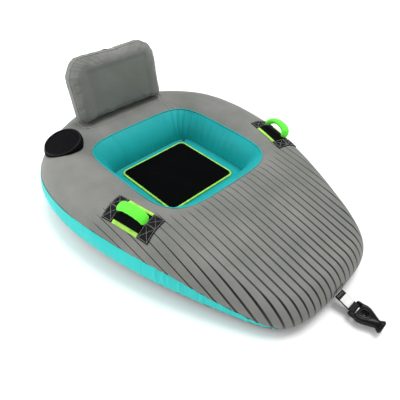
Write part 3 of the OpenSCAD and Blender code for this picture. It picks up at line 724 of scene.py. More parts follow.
# (angle, half width in degrees, depth, lean in degrees) of the upright folds in the cockpit's wall
WALL_FOLDS = ((138, 0.9, 0.0105, 1.5), (134, 0.7, 0.0085, -1.0), (142.5, 0.8, 0.0085, 3.0),
              (128, 0.7, 0.0075, -2.0), (121, 0.7, 0.0064, 2.0), (113, 0.6, 0.0054, 1.0),
              (104, 0.5, 0.0045, -1.0), (96, 0.5, 0.0040, 1.5), (88, 0.5, 0.0034, -1.0),
              (80, 0.5, 0.0030, 1.5), (72, 0.5, 0.0030, 1.0), (150, 0.8, 0.0036, 2.5),
              (226, 0.9, 0.0040, -1.5), (231, 0.8, 0.0028, 1.0), (44, 0.9, 0.0032, 1.0),
              (49, 0.8, 0.0026, -1.5), (315, 0.9, 0.0032, -1.0), (310, 0.8, 0.0024, 1.5))


def deck_relief(P):
    """How far the deck stands off its smooth shape, in metres."""
    q = P[..., :2]
    d = 0.0016 * noise(P, 0.21) + 0.0006 * noise(P + 3.1, 0.07)
    port, starboard = (BACK[0] + 0.03, BACK[1] + BACK_HALF), (BACK[0] + 0.03, BACK[1] - BACK_HALF)
    for (cx, cy), sign in ((port, 1), (starboard, -1)):
        for turn, length, depth in BACK_FOLDS:
            end = (cx + length * cos(turn), cy + sign * length * sin(turn))
            d = d + fold(q, (cx, cy), end, 0.0065, depth)
    for a, b, depth in NOSE_FOLDS:
        d = d + fold(q, a, b, 0.006, depth)
    return d * calm(P)


PITCH = 0.0355


def stripe_map(P, unrolled):
    """Stripe number and half width; the width is 0 where there are none. The stripes run straight on
    the cloth before it is bent over the tube, so their number comes from the unrolled place."""
    x, ay = P[..., 0], np.abs(unrolled[..., 1])
    half = 0.0019 + 0.0025 * smooth(x, 0.15, 0.66)
    start = 0.125 - 0.24 * smooth(ay, 0.30, 0.50)
    half = half * smooth(x, start - 0.01, start + 0.05) * smooth(P[..., 2], 0.016, 0.03)
    return np.stack([ay / PITCH + 0.5, half / PITCH - 0.02 * (half < 0.0002)], axis=-1)


def unroll(th, inner_al, flat, side_al):
    """Where the deck cloth's places lie when the tube's two arcs are laid flat, row by row."""
    low = rim_r(th) + deck_reach(th) * cos(rim_al(th))
    high = outer_r(th) - side_radius(th)
    rise = tube_h(RAY + low * cos(th)) - FLOOR
    inner = low - np.radians(90 - inner_al) * (deck_reach(th) + rise) / 2
    outer = high + np.radians(90 - side_al) * side_radius(th)
    r = np.concatenate([inner, low + (high - low) * flat, outer], axis=1)
    return np.stack([RAY + r * cos(th), r * sin(th)], axis=-1)


def covers():
    th = np.linspace(0, 360, 840, endpoint=False)[:, None]
    rim_to_crown = rim_al(th) + (90 - rim_al(th)) * np.linspace(0, 1, 20)[None, :]
    flat = np.linspace(0, 1, 16)[None, 1:-1]
    f = np.linspace(0, 1, 30)[None, :]
    down = 90 + (band_top(th) - 2.2 * near_nose(th) - 90) * f
    P = np.concatenate([deck(th, rim_to_crown), crown(th, flat), side(th, down)], axis=1)
    plan = unroll(th, rim_to_crown, flat, down)
    n = normals(P, True)
    edge = np.linspace(0, 1, P.shape[1])[None, :]
    rows = np.arange(P.shape[1])[None, :]
    run = lengths(P, True)
    pucker_run = run[:-1, :, 0]
    rim_near = np.exp(-rows / 3.0) * (rows > 0)
    low_near = np.exp(-(P.shape[1] - 1 - rows) / 4.0) * (rows < P.shape[1] - 1)
    d = deck_relief(P)
    d = d + 0.0007 * along(pucker_run, 0.018, 2) * rim_near * calm(P)
    d = d + 0.0013 * along(pucker_run, 0.016, 5) * low_near * calm(P)
    P = P + n * d[..., None]
    P = P + n * (0.0004 * (edge > 0.98))[..., None]
    wrapped = np.concatenate([P, P[:1]])
    cover = grid("deck_cover", P, uv=run, stripes=stripe_map(wrapped, np.concatenate([plan, plan[:1]])))
    place_piece(cover, "hull", M["deck"], ("deck_panel", "main_bladder"))

    th = np.linspace(0, 360, 1500, endpoint=False)[:, None]
    th = th[folded(th)[:, 0] > BAND_END + 0.1]
    f = np.linspace(0, 1, 16)[None, :]
    top = band_top(th) + near_nose(th) * (1.9 * along(np.radians(th) * 0.7, 0.011, 6) - 0.4)
    P = side(th, top * (1 - f) + FOOT * f)
    n = normals(P, False)
    run = lengths(P, False)
    u = run[..., 0]
    strong = 0.3 + 2.0 * smooth(-folded(th), -70, -40) + 0.25 * smooth(folded(th), 120, 170)
    ridges = 1 - np.abs(along(u + 0.004 * np.sin(f * 5), 0.012, 9)) * 2
    d = 0.0017 * strong * ridges * np.sin(np.pi * clamp01(f * 0.85 + 0.1)) ** 0.5
    d = d + 0.001 * along(u, 0.09, 3)
    P = P + n * (d - 0.0006)[..., None]
    band = grid("side_band_cover", P, wrap=False, uv=run)
    place_piece(band, "hull", M["band"], ("side_band",))

    th = np.linspace(0, 360, 480, endpoint=False)[:, None]
    al = np.linspace(FOOT, -90, 18)[None, :]
    inner = np.linspace(1, 0.02, 24)[None, 1:]
    under = side(th, al)
    reach = np.hypot(under[:, -1:, 0] - RAY, under[:, -1:, 1])
    P = np.concatenate([under, on_ray(th, reach * inner, 0.0)], axis=1)
    n = normals(P, True)
    away = smooth(P[..., 2], 0.004, 0.03)
    P = P + n * (0.0012 * noise(P, 0.05) * away - 0.0004)[..., None]
    P[..., 2] = np.maximum(P[..., 2], 0.0002)
    bottom = grid("bottom_cover", P, uv=lengths(P, True))
    place_piece(bottom, "hull", M["bottom"], ("bottom_panel",))


def liner():
    th = np.linspace(0, 360, 840, endpoint=False)[:, None]
    al = rim_al(th) * np.linspace(1, 0, 40)[None, :]
    W = wall(th, al)
    shrink = np.linspace(1, 0, 34)[None, 1:-1] ** 1.2
    edge_r = floor_r(th)
    G = on_ray(th, edge_r * shrink, FLOOR)
    P = np.concatenate([W, G], axis=1)
    n = normals(P, True)
    wall_rows = W.shape[1]
    h = np.zeros(P.shape[1])
    h[:wall_rows] = np.linspace(1, 0, wall_rows)
    h = h[None, :]
    on_wall = (np.arange(P.shape[1]) < wall_rows)[None, :]
    angle = th + 0 * h
    d = 0.0016 * noise(P, 0.11) * on_wall
    body = np.sin(np.pi * clamp01(h)) ** 0.6 * on_wall
    for place, width, depth, lean in WALL_FOLDS:
        off = folded(angle - place - lean * (h - 0.5))
        shape = 0.5 * np.exp(-(off / (2.2 * width)) ** 2) - np.exp(-(off / width) ** 2)
        d = d + depth * shape * body
    run = lengths(P, True)
    near_base = np.exp(-((h - 0.0) / 0.16) ** 2) * on_wall * (h > 0)
    d = d + 0.0022 * along(run[:-1, :, 0], 0.014, 4) * near_base
    near_rim = np.exp(-((h - 1.0) / 0.07) ** 2) * on_wall
    d = d + 0.0006 * along(run[:-1, :, 0], 0.011, 6) * near_rim * (h < 1)
    seam = 205.0 + 9.0 * (1 - h) ** 1.5
    off = folded(angle - seam)
    d = d - 0.0022 * np.exp(-(off / 0.45) ** 2) * on_wall * (h < 0.99)
    on_floor = ~on_wall
    r = np.hypot(P[..., 0] - RAY, P[..., 1])
    gap = edge_r - r
    d = d + on_floor * (0.0012 * smooth(gap, 0.0, 0.02) - 0.0020 * np.exp(-(gap / 0.006) ** 2))
    P = P + n * d[..., None]
    cover = grid("cockpit_cover", P, uv=run, flip=True)
    fix_normals(cover)
    place_piece(cover, "hull", M["liner"], ("cockpit_liner", "cockpit_floor", "floor_bladder"))
    # a dark teal cord along the foot of the wall: painted shade in the crease where wall meets floor
    base = wall(th, np.array([[1.2]]))[:, 0] + np.array([0, 0, 0.0022])
    base_cord = cord_along("cockpit_base_seam", base, 0.0016, True)
    place_piece(base_cord, "hull", M["crease_painted_shade"])


def rim():
    th = np.linspace(0, 360, 600, endpoint=False)
    line = wall(th, rim_al(th))
    tilt = np.stack([cos(th) * -0.5, sin(th) * -0.5, np.ones_like(th)], axis=-1)
    line = line + tilt / np.linalg.norm(tilt, axis=1, keepdims=True) * 0.0022
    line[:, 2] += 0.0006 * along(np.radians(th) * 0.34, 0.02, 8)
    cord = cord_along("rim_cord", line, 0.0020, True)
    place_piece(cord, "hull", M["piping"], ("rim_piping",))


def smooth_loop(length, width, r, per_corner=14):
    pts = []
    for (sx, sy, start) in ((1, 1, 0), (-1, 1, 90), (-1, -1, 180), (1, -1, 270)):
        for k in range(per_corner + 1):
            a = start + 90 * k / per_corner
            pts.append((sx * (length / 2 - r) + r * cos(a), sy * (width / 2 - r) + r * sin(a)))
    loop = np.array(pts)
    dense = []
    for a, b in zip(loop, np.roll(loop, -1, 0)):
        steps = max(1, int(np.linalg.norm(b - a) / 0.012))
        dense += [a + (b - a) * k / steps for k in range(steps)]
    return np.array(dense)


def floor_mat():
    length, width = 0.404, 0.426
    loop = smooth_loop(length, width, 0.030)
    centre = np.array([-SETBACK - 0.006, 0])
    rings, base = [], FLOOR + 0.0014
    body = loop * np.array([(length - 0.010) / length, (width - 0.010) / width])
    for scale, z in ((1.0, 0.0002), (1.0, 0.0055), (0.994, 0.0068), (0.985, 0.0074), (0.96, 0.0078),
                     (0.90, 0.0079), (0.75, 0.0080), (0.5, 0.0080), (0.25, 0.0080)):
        ring = np.column_stack([body * scale + centre, np.full(len(body), base + z)])
        ring[:, 2] += 0.0007 * noise(ring, 0.12)
        rings.append(ring)
    P = np.stack(rings, axis=1)
    n, m = P.shape[:2]
    faces = grid_faces(n, m, True).tolist()
    faces.append([j * m + m - 1 for j in range(n)])
    faces.append([j * m for j in range(n - 1, -1, -1)])
    mat = fix_normals(mesh_from("floor_mat", P.reshape(-1, 3), faces))
    place_piece(mat, "hull", M["foam"], ("floor_pad",))
    line = np.column_stack([loop * np.array([1 - 0.009 / length, 1 - 0.009 / width]) + centre,
                            np.full(len(loop), base + 0.0040)])
    line[:, 2] += 0.0007 * noise(line, 0.12)
    right, up = frames(line, True, (0, 0, 1))
    wobble = 1 + 0.05 * along(np.arange(len(line)) * 0.012, 0.03, 3)[:, None, None]
    binding = sweep("mat_binding", line, right, up, ring_profile(0.0050, 0.0046, 14, 0.8) * wobble, True)
    place_piece(binding, "hull", M["lime"], ("pad_binding",))
    row = np.column_stack([loop * (1 - 0.0172 / length) + centre, np.full(len(loop), base + 0.0083)])
    closed = [np.vstack([row, row[:1]])]
    sewn = stitches("mat_stitches", closed, (0.0, 0.0, 1.0), radius=0.0004)
    place_piece(sewn, "hull", M["lime"])


def drain():
    place, up = (-0.214 - SETBACK, 0.234, FLOOR + 0.0010), (0, 0, 1)
    ring = lathe("drain_eyelet", [(0.0045, 0.0000), (0.0045, 0.0012), (0.0052, 0.0019), (0.0065, 0.0021),
                                  (0.0080, 0.0016), (0.0090, 0.0006), (0.0090, 0.0000)], place, up, 40, True)
    hole = lathe("drain_hole", [(0.0, 0.0004), (0.0046, 0.0004)], place, up, 40)
    place_piece(join("drain", [ring, hole]), "hull", M["plastic"], ("floor_drain",))


# ---------------------------------------------------------------- backrest
# In its own frame: X to the front, Y across, Z up along the lean
BACK_W, BACK_H, BACK_D = 0.550, 0.328, 0.092
BACK_Z = TUBE + 0.007
LEAN = 10.0
SEAM = 20.0
BACK_FRAME = (Matrix.Translation((-SETBACK - 0.482, 0.015, BACK_Z))
              @ Matrix.Rotation(math.radians(-LEAN), 4, "Y"))
BACK_TURN = np.array(BACK_FRAME.to_3x3())
BACK_AT = np.array(BACK_FRAME.translation)


def to_world(p):
    return np.asarray(p, float) @ BACK_TURN.T + BACK_AT


def to_back(p):
    return (np.asarray(p, float) - BACK_AT) @ BACK_TURN


def back_outline(d, steps=16, along_side=10):
    pts = []
    for c in range(4):
        top, sgn = c in (1, 2), 1 if c < 2 else -1
        r = 0.115 if top else 0.035
        turn, reach = max(r - d, 0.004), max(r, d + 0.004)
        for k in range(steps + 1):
            a = (-90, 0, 90, 180)[c] + 90 * k / steps
            pts.append((sgn * (BACK_W / 2 - reach) + turn * cos(a),
                        (BACK_H - reach if top else reach) + turn * sin(a)))
    pts = np.array(pts)
    out = []
    for i, (a, b) in enumerate(zip(pts, np.roll(pts, -1, 0))):
        count = along_side if i % (steps + 1) == steps else 1
        out += [a + (b - a) * k / count for k in range(count)]
    return np.array(out)


def back_inset(be):
    return 0.095 * (1 - cos(be) ** 0.65)


def back_x(be):
    return BACK_D / 2 * np.sign(be) * np.abs(sin(be)) ** 0.65


def to_foot(z, inset):
    """Heights in a row of the outline, with hardly any inset at its foot: the faces run down to the deck."""
    mid = BACK_H / 2
    return np.where(z < mid, 0.02 * inset + (z - inset) * (mid - 0.02 * inset) / (mid - inset), z)


def back_grid(angles, grow=0.0):
    rows = []
    for be in angles:
        inset = back_inset(be) - grow
        loop = back_outline(inset)
        loop[:, 1] = to_foot(loop[:, 1], inset)
        rows.append(np.column_stack([np.full(len(loop), back_x(be)), loop]))
    return np.stack(rows, axis=1)


def remeshed(obj, voxel):
    modify(obj, "REMESH", mode="VOXEL", voxel_size=voxel, use_smooth_shade=True)
    return apply_modifiers(obj)


def inflated(obj, pressure, cap, frames_run=20, stiff=12.0):
    """Cloth blown up from inside, with no point moved further than cap."""
    before = read(obj.data.vertices, "co")
    modify(obj, "CLOTH")
    c = obj.modifiers[0]
    c.settings.quality = 5
    c.settings.mass = 0.2
    c.settings.tension_stiffness = stiff
    c.settings.compression_stiffness = stiff
    c.settings.shear_stiffness = 4
    c.settings.bending_stiffness = 0.15
    c.settings.use_pressure = True
    c.settings.uniform_pressure_force = pressure
    c.settings.effector_weights.gravity = 0
    c.settings.shrink_min = -0.015
    c.collision_settings.use_self_collision = False
    c.point_cache.frame_start, c.point_cache.frame_end = 1, frames_run
    scene = bpy.context.scene
    for f in range(1, frames_run + 1):
        scene.frame_set(f)
    apply_modifiers(obj)
    scene.frame_set(1)
    move = read(obj.data.vertices, "co") - before
    size = np.linalg.norm(move, axis=1, keepdims=True)
    move *= np.minimum(1, cap / np.maximum(size, 1e-9))
    move_points(obj, before + move)


def read(vectors, field):
    flat = np.zeros(len(vectors) * 3, np.float32)
    vectors.foreach_get(field, flat)
    return flat.reshape(-1, 3).astype(float)


def move_points(obj, co):
    obj.data.vertices.foreach_set("co", co.astype(np.float32).ravel())
    obj.data.update()


def edge_distance(y, z):
    """How far inside the backrest's outline a place is, and its angle round the middle."""
    r = np.where(z > BACK_H / 2, 0.115, 0.035)
    half_w, mid = BACK_W / 2, BACK_H / 2
    dy, dz = half_w - np.abs(y), mid - np.abs(z - mid)
    corner = (dy < r) & (dz < r)
    return np.where(corner, r - np.hypot(np.minimum(dy - r, 0), np.minimum(dz - r, 0)), np.minimum(dy, dz))


def front_panel(y, z):
    """1 inside the sunken front panel, which is open at the foot, 0 outside."""
    side_gap = smooth(y + BACK_W / 2, 0.085, 0.115) * smooth(BACK_W / 2 - y, 0.070, 0.100)
    return side_gap * smooth(BACK_H - z, 0.060, 0.090)


def bend_with_back(obj):
    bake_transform(obj)


def backrest():
    angles = [90, 76, 62, 50, 40, 30, 20, 10, 0, -10, -20, -30, -40, -50, -62, -76, -90]
    P = back_grid(angles, grow=-0.003)
    P[..., 0] *= 0.93
    n, m = P.shape[:2]
    faces = grid_faces(n, m, True).tolist()
    faces.append([j * m for j in range(n)])
    faces.append([j * m + m - 1 for j in range(n - 1, -1, -1)])
    body = fix_normals(mesh_from("backrest_cushion", P.reshape(-1, 3), faces))
    remeshed(body, 0.006)
    inflated(body, 4.0, 0.009)
    modify(body, "SUBSURF", levels=1, render_levels=1)
    apply_modifiers(body)
    co, nn = read(body.data.vertices, "co"), read(body.data.vertex_normals, "vector")
    x, y, z = co.T
    inside = edge_distance(y, z)
    depth = x / (BACK_D / 2)
    angle = np.degrees(np.arctan2(z - 0.19, y))
    d = -0.0050 * smooth(depth, 0.2, 0.9) * front_panel(y, z)
    d = d + 0.0016 * noise(co, 0.09)
    rim_band = smooth(0.075 - inside, 0.0, 0.05) * smooth(z, 0.0, 0.06)
    corner = np.exp(-((angle - 150) / 28) ** 2) + 0.6 * np.exp(-((angle - 32) / 24) ** 2)
    top_edge = np.exp(-((angle - 100) / 30) ** 2)
    d = d + 0.0030 * along(angle * 0.004, 0.016, 3) * rim_band * (0.3 + corner + 0.5 * top_edge)
    d = d + 0.0026 * along(angle * 0.004, 0.0085, 12) * rim_band * (0.2 + corner + 0.4 * top_edge)
    for seam_x in (back_x(SEAM), back_x(-SEAM)):
        near = np.exp(-((x - seam_x) / 0.0030) ** 2) * smooth(0.02 - inside, 0.0, 0.012)
        d = d - 0.0007 * near
        by_seam = np.exp(-((x - seam_x) / 0.010) ** 2) * smooth(0.03 - inside, 0, 0.02)
        d = d + 0.0013 * along(angle * 0.004, 0.009, 7) * by_seam
    low = smooth(0.05 - z, 0.0, 0.05)
    d = d + 0.0026 * along(y, 0.035, 5) * low * smooth(np.abs(depth), 0.1, 0.6)
    dip = -0.009 * np.exp(-((y - 0.02) / 0.055) ** 2) * smooth(z, BACK_H - 0.06, BACK_H)
    co = co + nn * d[:, None]
    co[:, 2] += dip
    co[:, 2] = np.where(co[:, 2] < 0.02, -0.006 + (co[:, 2] + 0.003) * 1.13, co[:, 2])
    co[:, 2] = np.maximum(co[:, 2], -0.0075)
    move_points(body, to_world(co))
    # faces of the sunken front panel get the darker gray copy: painted shade in the recess
    for f in body.data.polygons:
        c = to_back(np.array(f.center))
        f.material_index = 1 if c[0] > 0.5 * BACK_D / 2 and front_panel(c[1], c[2]) > 0.5 else 0
    body.data.materials.append(M["gray"])
    body.data.materials.append(M["painted_shade_gray"])
    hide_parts("backrest_bladder", "backrest_front_panel", "backrest_gusset", "backrest_rear_panel")
    bend_with_back(body)
    tree = BVHTree.FromPolygons([v.co for v in body.data.vertices],
                                [p.vertices[:] for p in body.data.polygons])
    for be, name in ((SEAM, "backrest_front_seam"), (-SEAM, "backrest_rear_seam")):
        loop = back_outline(back_inset(be), 12, 14)
        keep = loop[:, 1] > 0.012
        start = int(np.argmax(~keep))
        loop = np.roll(loop, -start, 0)
        loop = loop[np.roll(keep, -start)]
        line = to_world(np.column_stack([np.full(len(loop), back_x(be)), loop]))
        hit, outs = [], []
        for p in line:
            at, normal, _, _ = tree.find_nearest(Vector(p))
            hit.append(np.array(at) + np.array(normal) * 0.0004)
            outs.append(np.array(normal))
        right, up = frames(np.array(hit), False, np.array(outs))
        cord = sweep(name, np.array(hit), right, up, ring_profile(0.0017, 0.0013, 8), False)
        cord.data.materials.append(M["gray"])
        bend_with_back(cord)
    base_piping()


def base_piping():
    """The sewn edge of the fabric that joins the backrest to the deck."""
    t = np.linspace(0, 360, 260, endpoint=False)
    c, s = cos(t), sin(t)
    x = BACK[0] + 0.006 + 0.050 * np.sign(s) * np.abs(s) ** 0.5
    y = BACK[1] + 0.262 * np.sign(c) * np.abs(c) ** 0.22 + 0.002 * along(t * 0.003, 0.05, 4)
    cord = cord_along("backrest_base_piping", on_deck(x, y, np.full(len(t), 0.0012)), 0.0018, True, sides=8)
    place_piece(cord, "hull", M["piping_gray"], ("backrest_base_strip",))


# ---------------------------------------------------------------- valves
LID_TILT = 14.8
LID_AT = np.array([VALVE[0], VALVE[1], float(deck_z(VALVE[0], VALVE[1])) + 0.018])


def lid_place(a, r, up):
    """A place on the tilted lid: turned by a, r from its middle, up off its plane."""
    a, r, up = np.broadcast_arrays(np.asarray(a, float), np.asarray(r, float), np.asarray(up, float))
    return LID_AT + np.stack([r * cos(a), r * sin(a) * cos(LID_TILT) - up * sin(LID_TILT),
                              r * sin(a) * sin(LID_TILT) + up * cos(LID_TILT)], axis=-1)


def valve_cover():
    sides = 120
    a = np.linspace(0, 360, sides, endpoint=False)[:, None]
    prof = np.array([(0.0, 4.0), (18, 3.9), (34, 3.5), (50, 2.9), (64, 2.2), (74, 1.7), (79, 1.0),
                     (80.5, 0.6), (82.5, 1.4), (86.0, 1.2), (89.5, 0.2), (92.5, -1.6), (93.8, -3.0)])
    prof = prof.T[:, None, :] / 1000
    up = prof[1] + 0.0007 * along(a * 0.0016, 0.03, 3) * np.sin(np.pi * prof[0] / 0.094)
    top = lid_place(a, prof[0], up)
    rim_edge = lid_place(a, 0.094, -0.003)
    foot = on_deck(rim_edge[..., 0], rim_edge[..., 1], np.full(a.shape, 0.0016))
    drop = np.linspace(0, 1, 10)[None, 1:, None]
    skirt_rows = rim_edge * (1 - drop) + foot * drop
    outward = np.stack([cos(a), sin(a), 0 * a], axis=-1)
    tall = np.linalg.norm(rim_edge - foot, axis=-1, keepdims=True)
    bulge = 0.10 * tall + 0.0010 * along(a * 0.0016, 0.012, 6)[..., None]
    skirt_rows = skirt_rows + outward * bulge * np.sin(np.pi * drop)
    lid = grid("valve_lid", np.concatenate([top, skirt_rows], axis=1))
    fix_normals(lid, 1e-5)
    modify(lid, "SOLIDIFY", thickness=0.0012, offset=-1)
    modify(lid, "SUBSURF", levels=1, render_levels=1)
    apply_modifiers(lid)
    place_piece(lid, "valve_flap", M["neoprene"], ("valve_cover",))
    a = a[:, 0]
    cord = cord_along("valve_lid_piping", lid_place(a, 0.0885, 0.0014), 0.0036, True, sides=12)
    place_piece(cord, "valve_flap", M["soft_black"], ("valve_cover_piping",))
    sewn = stitches("valve_lid_stitches", [lid_place(np.append(a, 360), 0.0775, 0.0018)],
                    (0.0, -sin(LID_TILT), cos(LID_TILT)), radius=0.0004)
    place_piece(sewn, "valve_flap", M["webbing"])


def back_valve_cover():
    origin = to_world((-BACK_D / 2 - 0.0003, 0, 0.228))
    axis = -BACK_TURN[:, 0]
    profile = [(0.0, 0.0152), (0.030, 0.0149), (0.055, 0.0141), (0.062, 0.0132), (0.064, 0.0124),
               (0.066, 0.0132), (0.070, 0.0134), (0.074, 0.0120), (0.077, 0.0090), (0.078, 0.0050),
               (0.078, 0.0014), (0.0755, 0.0010)]
    lid = lathe("backrest_valve_lid", profile, origin, axis, 96)
    modify(lid, "SOLIDIFY", thickness=0.0012, offset=-1)
    apply_modifiers(lid)
    place_piece(lid, "backrest_flap", M["neoprene"], ("backrest_valve_cover",))
    section = [(0.070 + 0.0032 * cos(k * 30), 0.0148 + 0.0032 * sin(k * 30)) for k in range(12)]
    ring = lathe("backrest_lid_piping", section, origin, axis, 96, True)
    place_piece(ring, "backrest_flap", M["plastic"], ("backrest_cover_piping",))


# ---------------------------------------------------------------- handles
ARCH_HALF, ARCH_RISE, ARCH_SKEW = 0.066, 0.055, 0.012
ARCH_LIFT, ARCH_LEAN = 0.007, 20.0


def handle_xy(side_sign):
    """Plan place of (u towards the nose, w outboard) in a handle's own frame."""
    def place(u, w):
        x = HANDLE[0] + u * cos(HANDLE_TURN) + w * sin(HANDLE_TURN)
        y = HANDLE[1] - u * sin(HANDLE_TURN) + w * cos(HANDLE_TURN)
        return np.stack([x, side_sign * y], axis=-1)
    return place


def handles():
    for name, sign in (("port", 1.0), ("starboard", -1.0)):
        at = handle_xy(sign)
        body = f"{name}_handle"

        def region(u0, u1, w0, w1):
            if sign > 0:
                return lambda f, g: at(u0 + (u1 - u0) * g, w0 + (w1 - w0) * f)
            return lambda f, g: at(u0 + (u1 - u0) * f, w0 + (w1 - w0) * g)

        patch = slab(f"{name}_base_patch", region(-PATCH_HALF, PATCH_HALF, -PATCH_W, PATCH_W), 20, 14,
                     0.0004, 0.0018)
        place_piece(patch, "hull", M["patch"], (f"{name}_handle_patch",))
        ends = []
        lines = []
        for u0, u1 in ((-PATCH_HALF, -END_IN), (END_IN, PATCH_HALF)):
            ends.append(slab("end", region(u0, u1, -PATCH_W, PATCH_W), 14, 20, 0.0018, 0.0042,
                             bulge=lambda F, G: 0.0006 * np.sin(6 * F) * np.sin(9 * G + 1)))
            inset = 0.0045
            for w0, w1 in ((-PATCH_W, 0.0), (0.0, PATCH_W)):
                a, b = u0 + inset, u1 - inset
                c, e = w0 + inset * (1 if w0 < -0.01 else 0.35), w1 - inset * (1 if w1 > 0.01 else 0.35)
                for p, q in (((a, c), (b, c)), ((b, c), (b, e)), ((b, e), (a, e)), ((a, e), (a, c)),
                             ((a, c), (b, e)), ((a, e), (b, c))):
                    f = np.linspace(0, 1, 24)
                    xy = at(p[0] + (q[0] - p[0]) * f, p[1] + (q[1] - p[1]) * f)
                    lines.append(on_deck(xy[..., 0], xy[..., 1], np.full(24, 0.0046)))
        end_pieces = join(f"{name}_end_pieces", ends)
        place_piece(end_pieces, "hull", M["patch"], (f"{name}_end_patches",))

        def off_deck(p):
            q = on_deck(p[:, 0], p[:, 1], np.full(len(p), 0.01)) - on_deck(p[:, 0], p[:, 1], np.zeros(len(p)))
            return q / np.linalg.norm(q, axis=1, keepdims=True)

        thread = stitches(f"{name}_cross_stitches", lines, off_deck, radius=0.0008)
        place_piece(thread, "hull", M["thread"])
        strips = [slab("strip", region(-0.0632, 0.0632, w0, w0 + 0.014), 16, 6, 0.0018, 0.0050, edge=0.004)
                  for w0 in (-PATCH_W, 0.045)]
        strips = join(f"{name}_edge_binding", strips)
        place_piece(strips, "hull", M["lime"], (f"{name}_edge_strips",))
        guard = slab(f"{name}_knuckle_pad", region(-0.0628, 0.0628, -0.044, 0.044), 18, 14, 0.0018, 0.0040,
                     edge=0.006, bulge=lambda F, G: 0.0006 * np.sin(np.pi * F) * np.sin(np.pi * G))
        place_piece(guard, "hull", M["neoprene"], (f"{name}_knuckle_guard",))
        arch(name, sign, body)


def arch(name, sign, body):
    at = handle_xy(sign)
    centre = at(0.0, 0.0)
    ends = [at(u, 0.0) for u in (-ARCH_HALF, ARCH_HALF)]
    fall = math.atan2(float(deck_z(ends[0][0], ends[0][1]) - deck_z(ends[1][0], ends[1][1])), 2 * ARCH_HALF)
    ahead = np.array([cos(HANDLE_TURN), -sign * sin(HANDLE_TURN), 0.0])
    across = np.array([sin(HANDLE_TURN), sign * cos(HANDLE_TURN), 0.0])
    plumb = np.array([0.0, 0.0, 1.0])
    along_u = ahead * math.cos(fall) - plumb * math.sin(fall)
    up = ahead * math.sin(fall) + plumb * math.cos(fall)
    up, across = up * cos(ARCH_LEAN) + across * sin(ARCH_LEAN), across * cos(ARCH_LEAN) - up * sin(ARCH_LEAN)
    base = np.array([centre[0], centre[1], float(deck_z(centre[0], centre[1])) + ARCH_LIFT])

    def run(start, stop):
        """Points of the arch, the directions off its face, and its height."""
        t = np.linspace(start, stop, 90)
        c, s = cos(t), sin(t)
        u = ARCH_HALF * np.sign(c) * np.abs(c) ** 0.8 + ARCH_SKEW * s
        z = ARCH_RISE * np.abs(s) ** np.where(c > 0, 0.6, 1.15)
        pts = base + u[:, None] * along_u + z[:, None] * up
        return pts, face_up(pts, across, up, 45), pts @ up - base @ up

    pts, out, height = run(5, 168)
    f = np.linspace(0, 1, 90)
    grow = smooth(height, -0.006, 0.028)
    half_w = 0.0070 + 0.0160 * grow
    half_h = 0.0030 + 0.0098 * grow ** 0.8
    wrinkle = 1 + 0.05 * along(f * 0.2, 0.012, 4 + sign)
    k = np.arange(28) * 360 / 28
    prof = np.stack([half_w[:, None] * np.sign(cos(k)) * np.abs(cos(k)) ** 0.85,
                     half_h[:, None] * np.sign(sin(k)) * np.abs(sin(k)) ** 0.9], axis=-1)
    inner = smooth(-sin(k), 0.1, 0.9)[None, :, None]
    ripple = 0.16 * along(f * 0.2, 0.007, 8 + sign) * smooth(np.sin(f * np.pi), 0.2, 0.8)
    prof = prof * wrinkle[:, None, None] * (1 + inner * ripple[:, None, None])
    sleeve = sweep(f"{name}_grip_sleeve", pts, across, out, prof, False)
    place_piece(sleeve, body, M["grip"], (f"{name}_grip",))
    seam = pts + out * (-half_h - 0.0002)[:, None]
    seam_cord = sweep(f"{name}_grip_seam", seam[8:-8], across, out[8:-8],
                      ring_profile(0.0014, 0.0009, 8), False)
    place_piece(seam_cord, body, M["lime"])
    pts, out, height = run(2, 178)
    half = np.minimum(0.019, 0.0022 + 0.6 * np.maximum(height, 0))
    prof = np.stack([np.stack([a * half, np.full(90, b * 0.0013)], axis=-1)
                     for a, b in ((1, 1), (-1, 1), (-1, -1), (1, -1))], axis=1)
    strap = sweep(f"{name}_arch_strap", pts, across, out, prof, False)
    place_piece(strap, body, M["webbing"], (f"{name}_webbing",))


# ---------------------------------------------------------------- tow point
ROOT = np.array([0.745, 0.0, 0.058])
BAR = np.array([0.823, 0.0, 0.036])


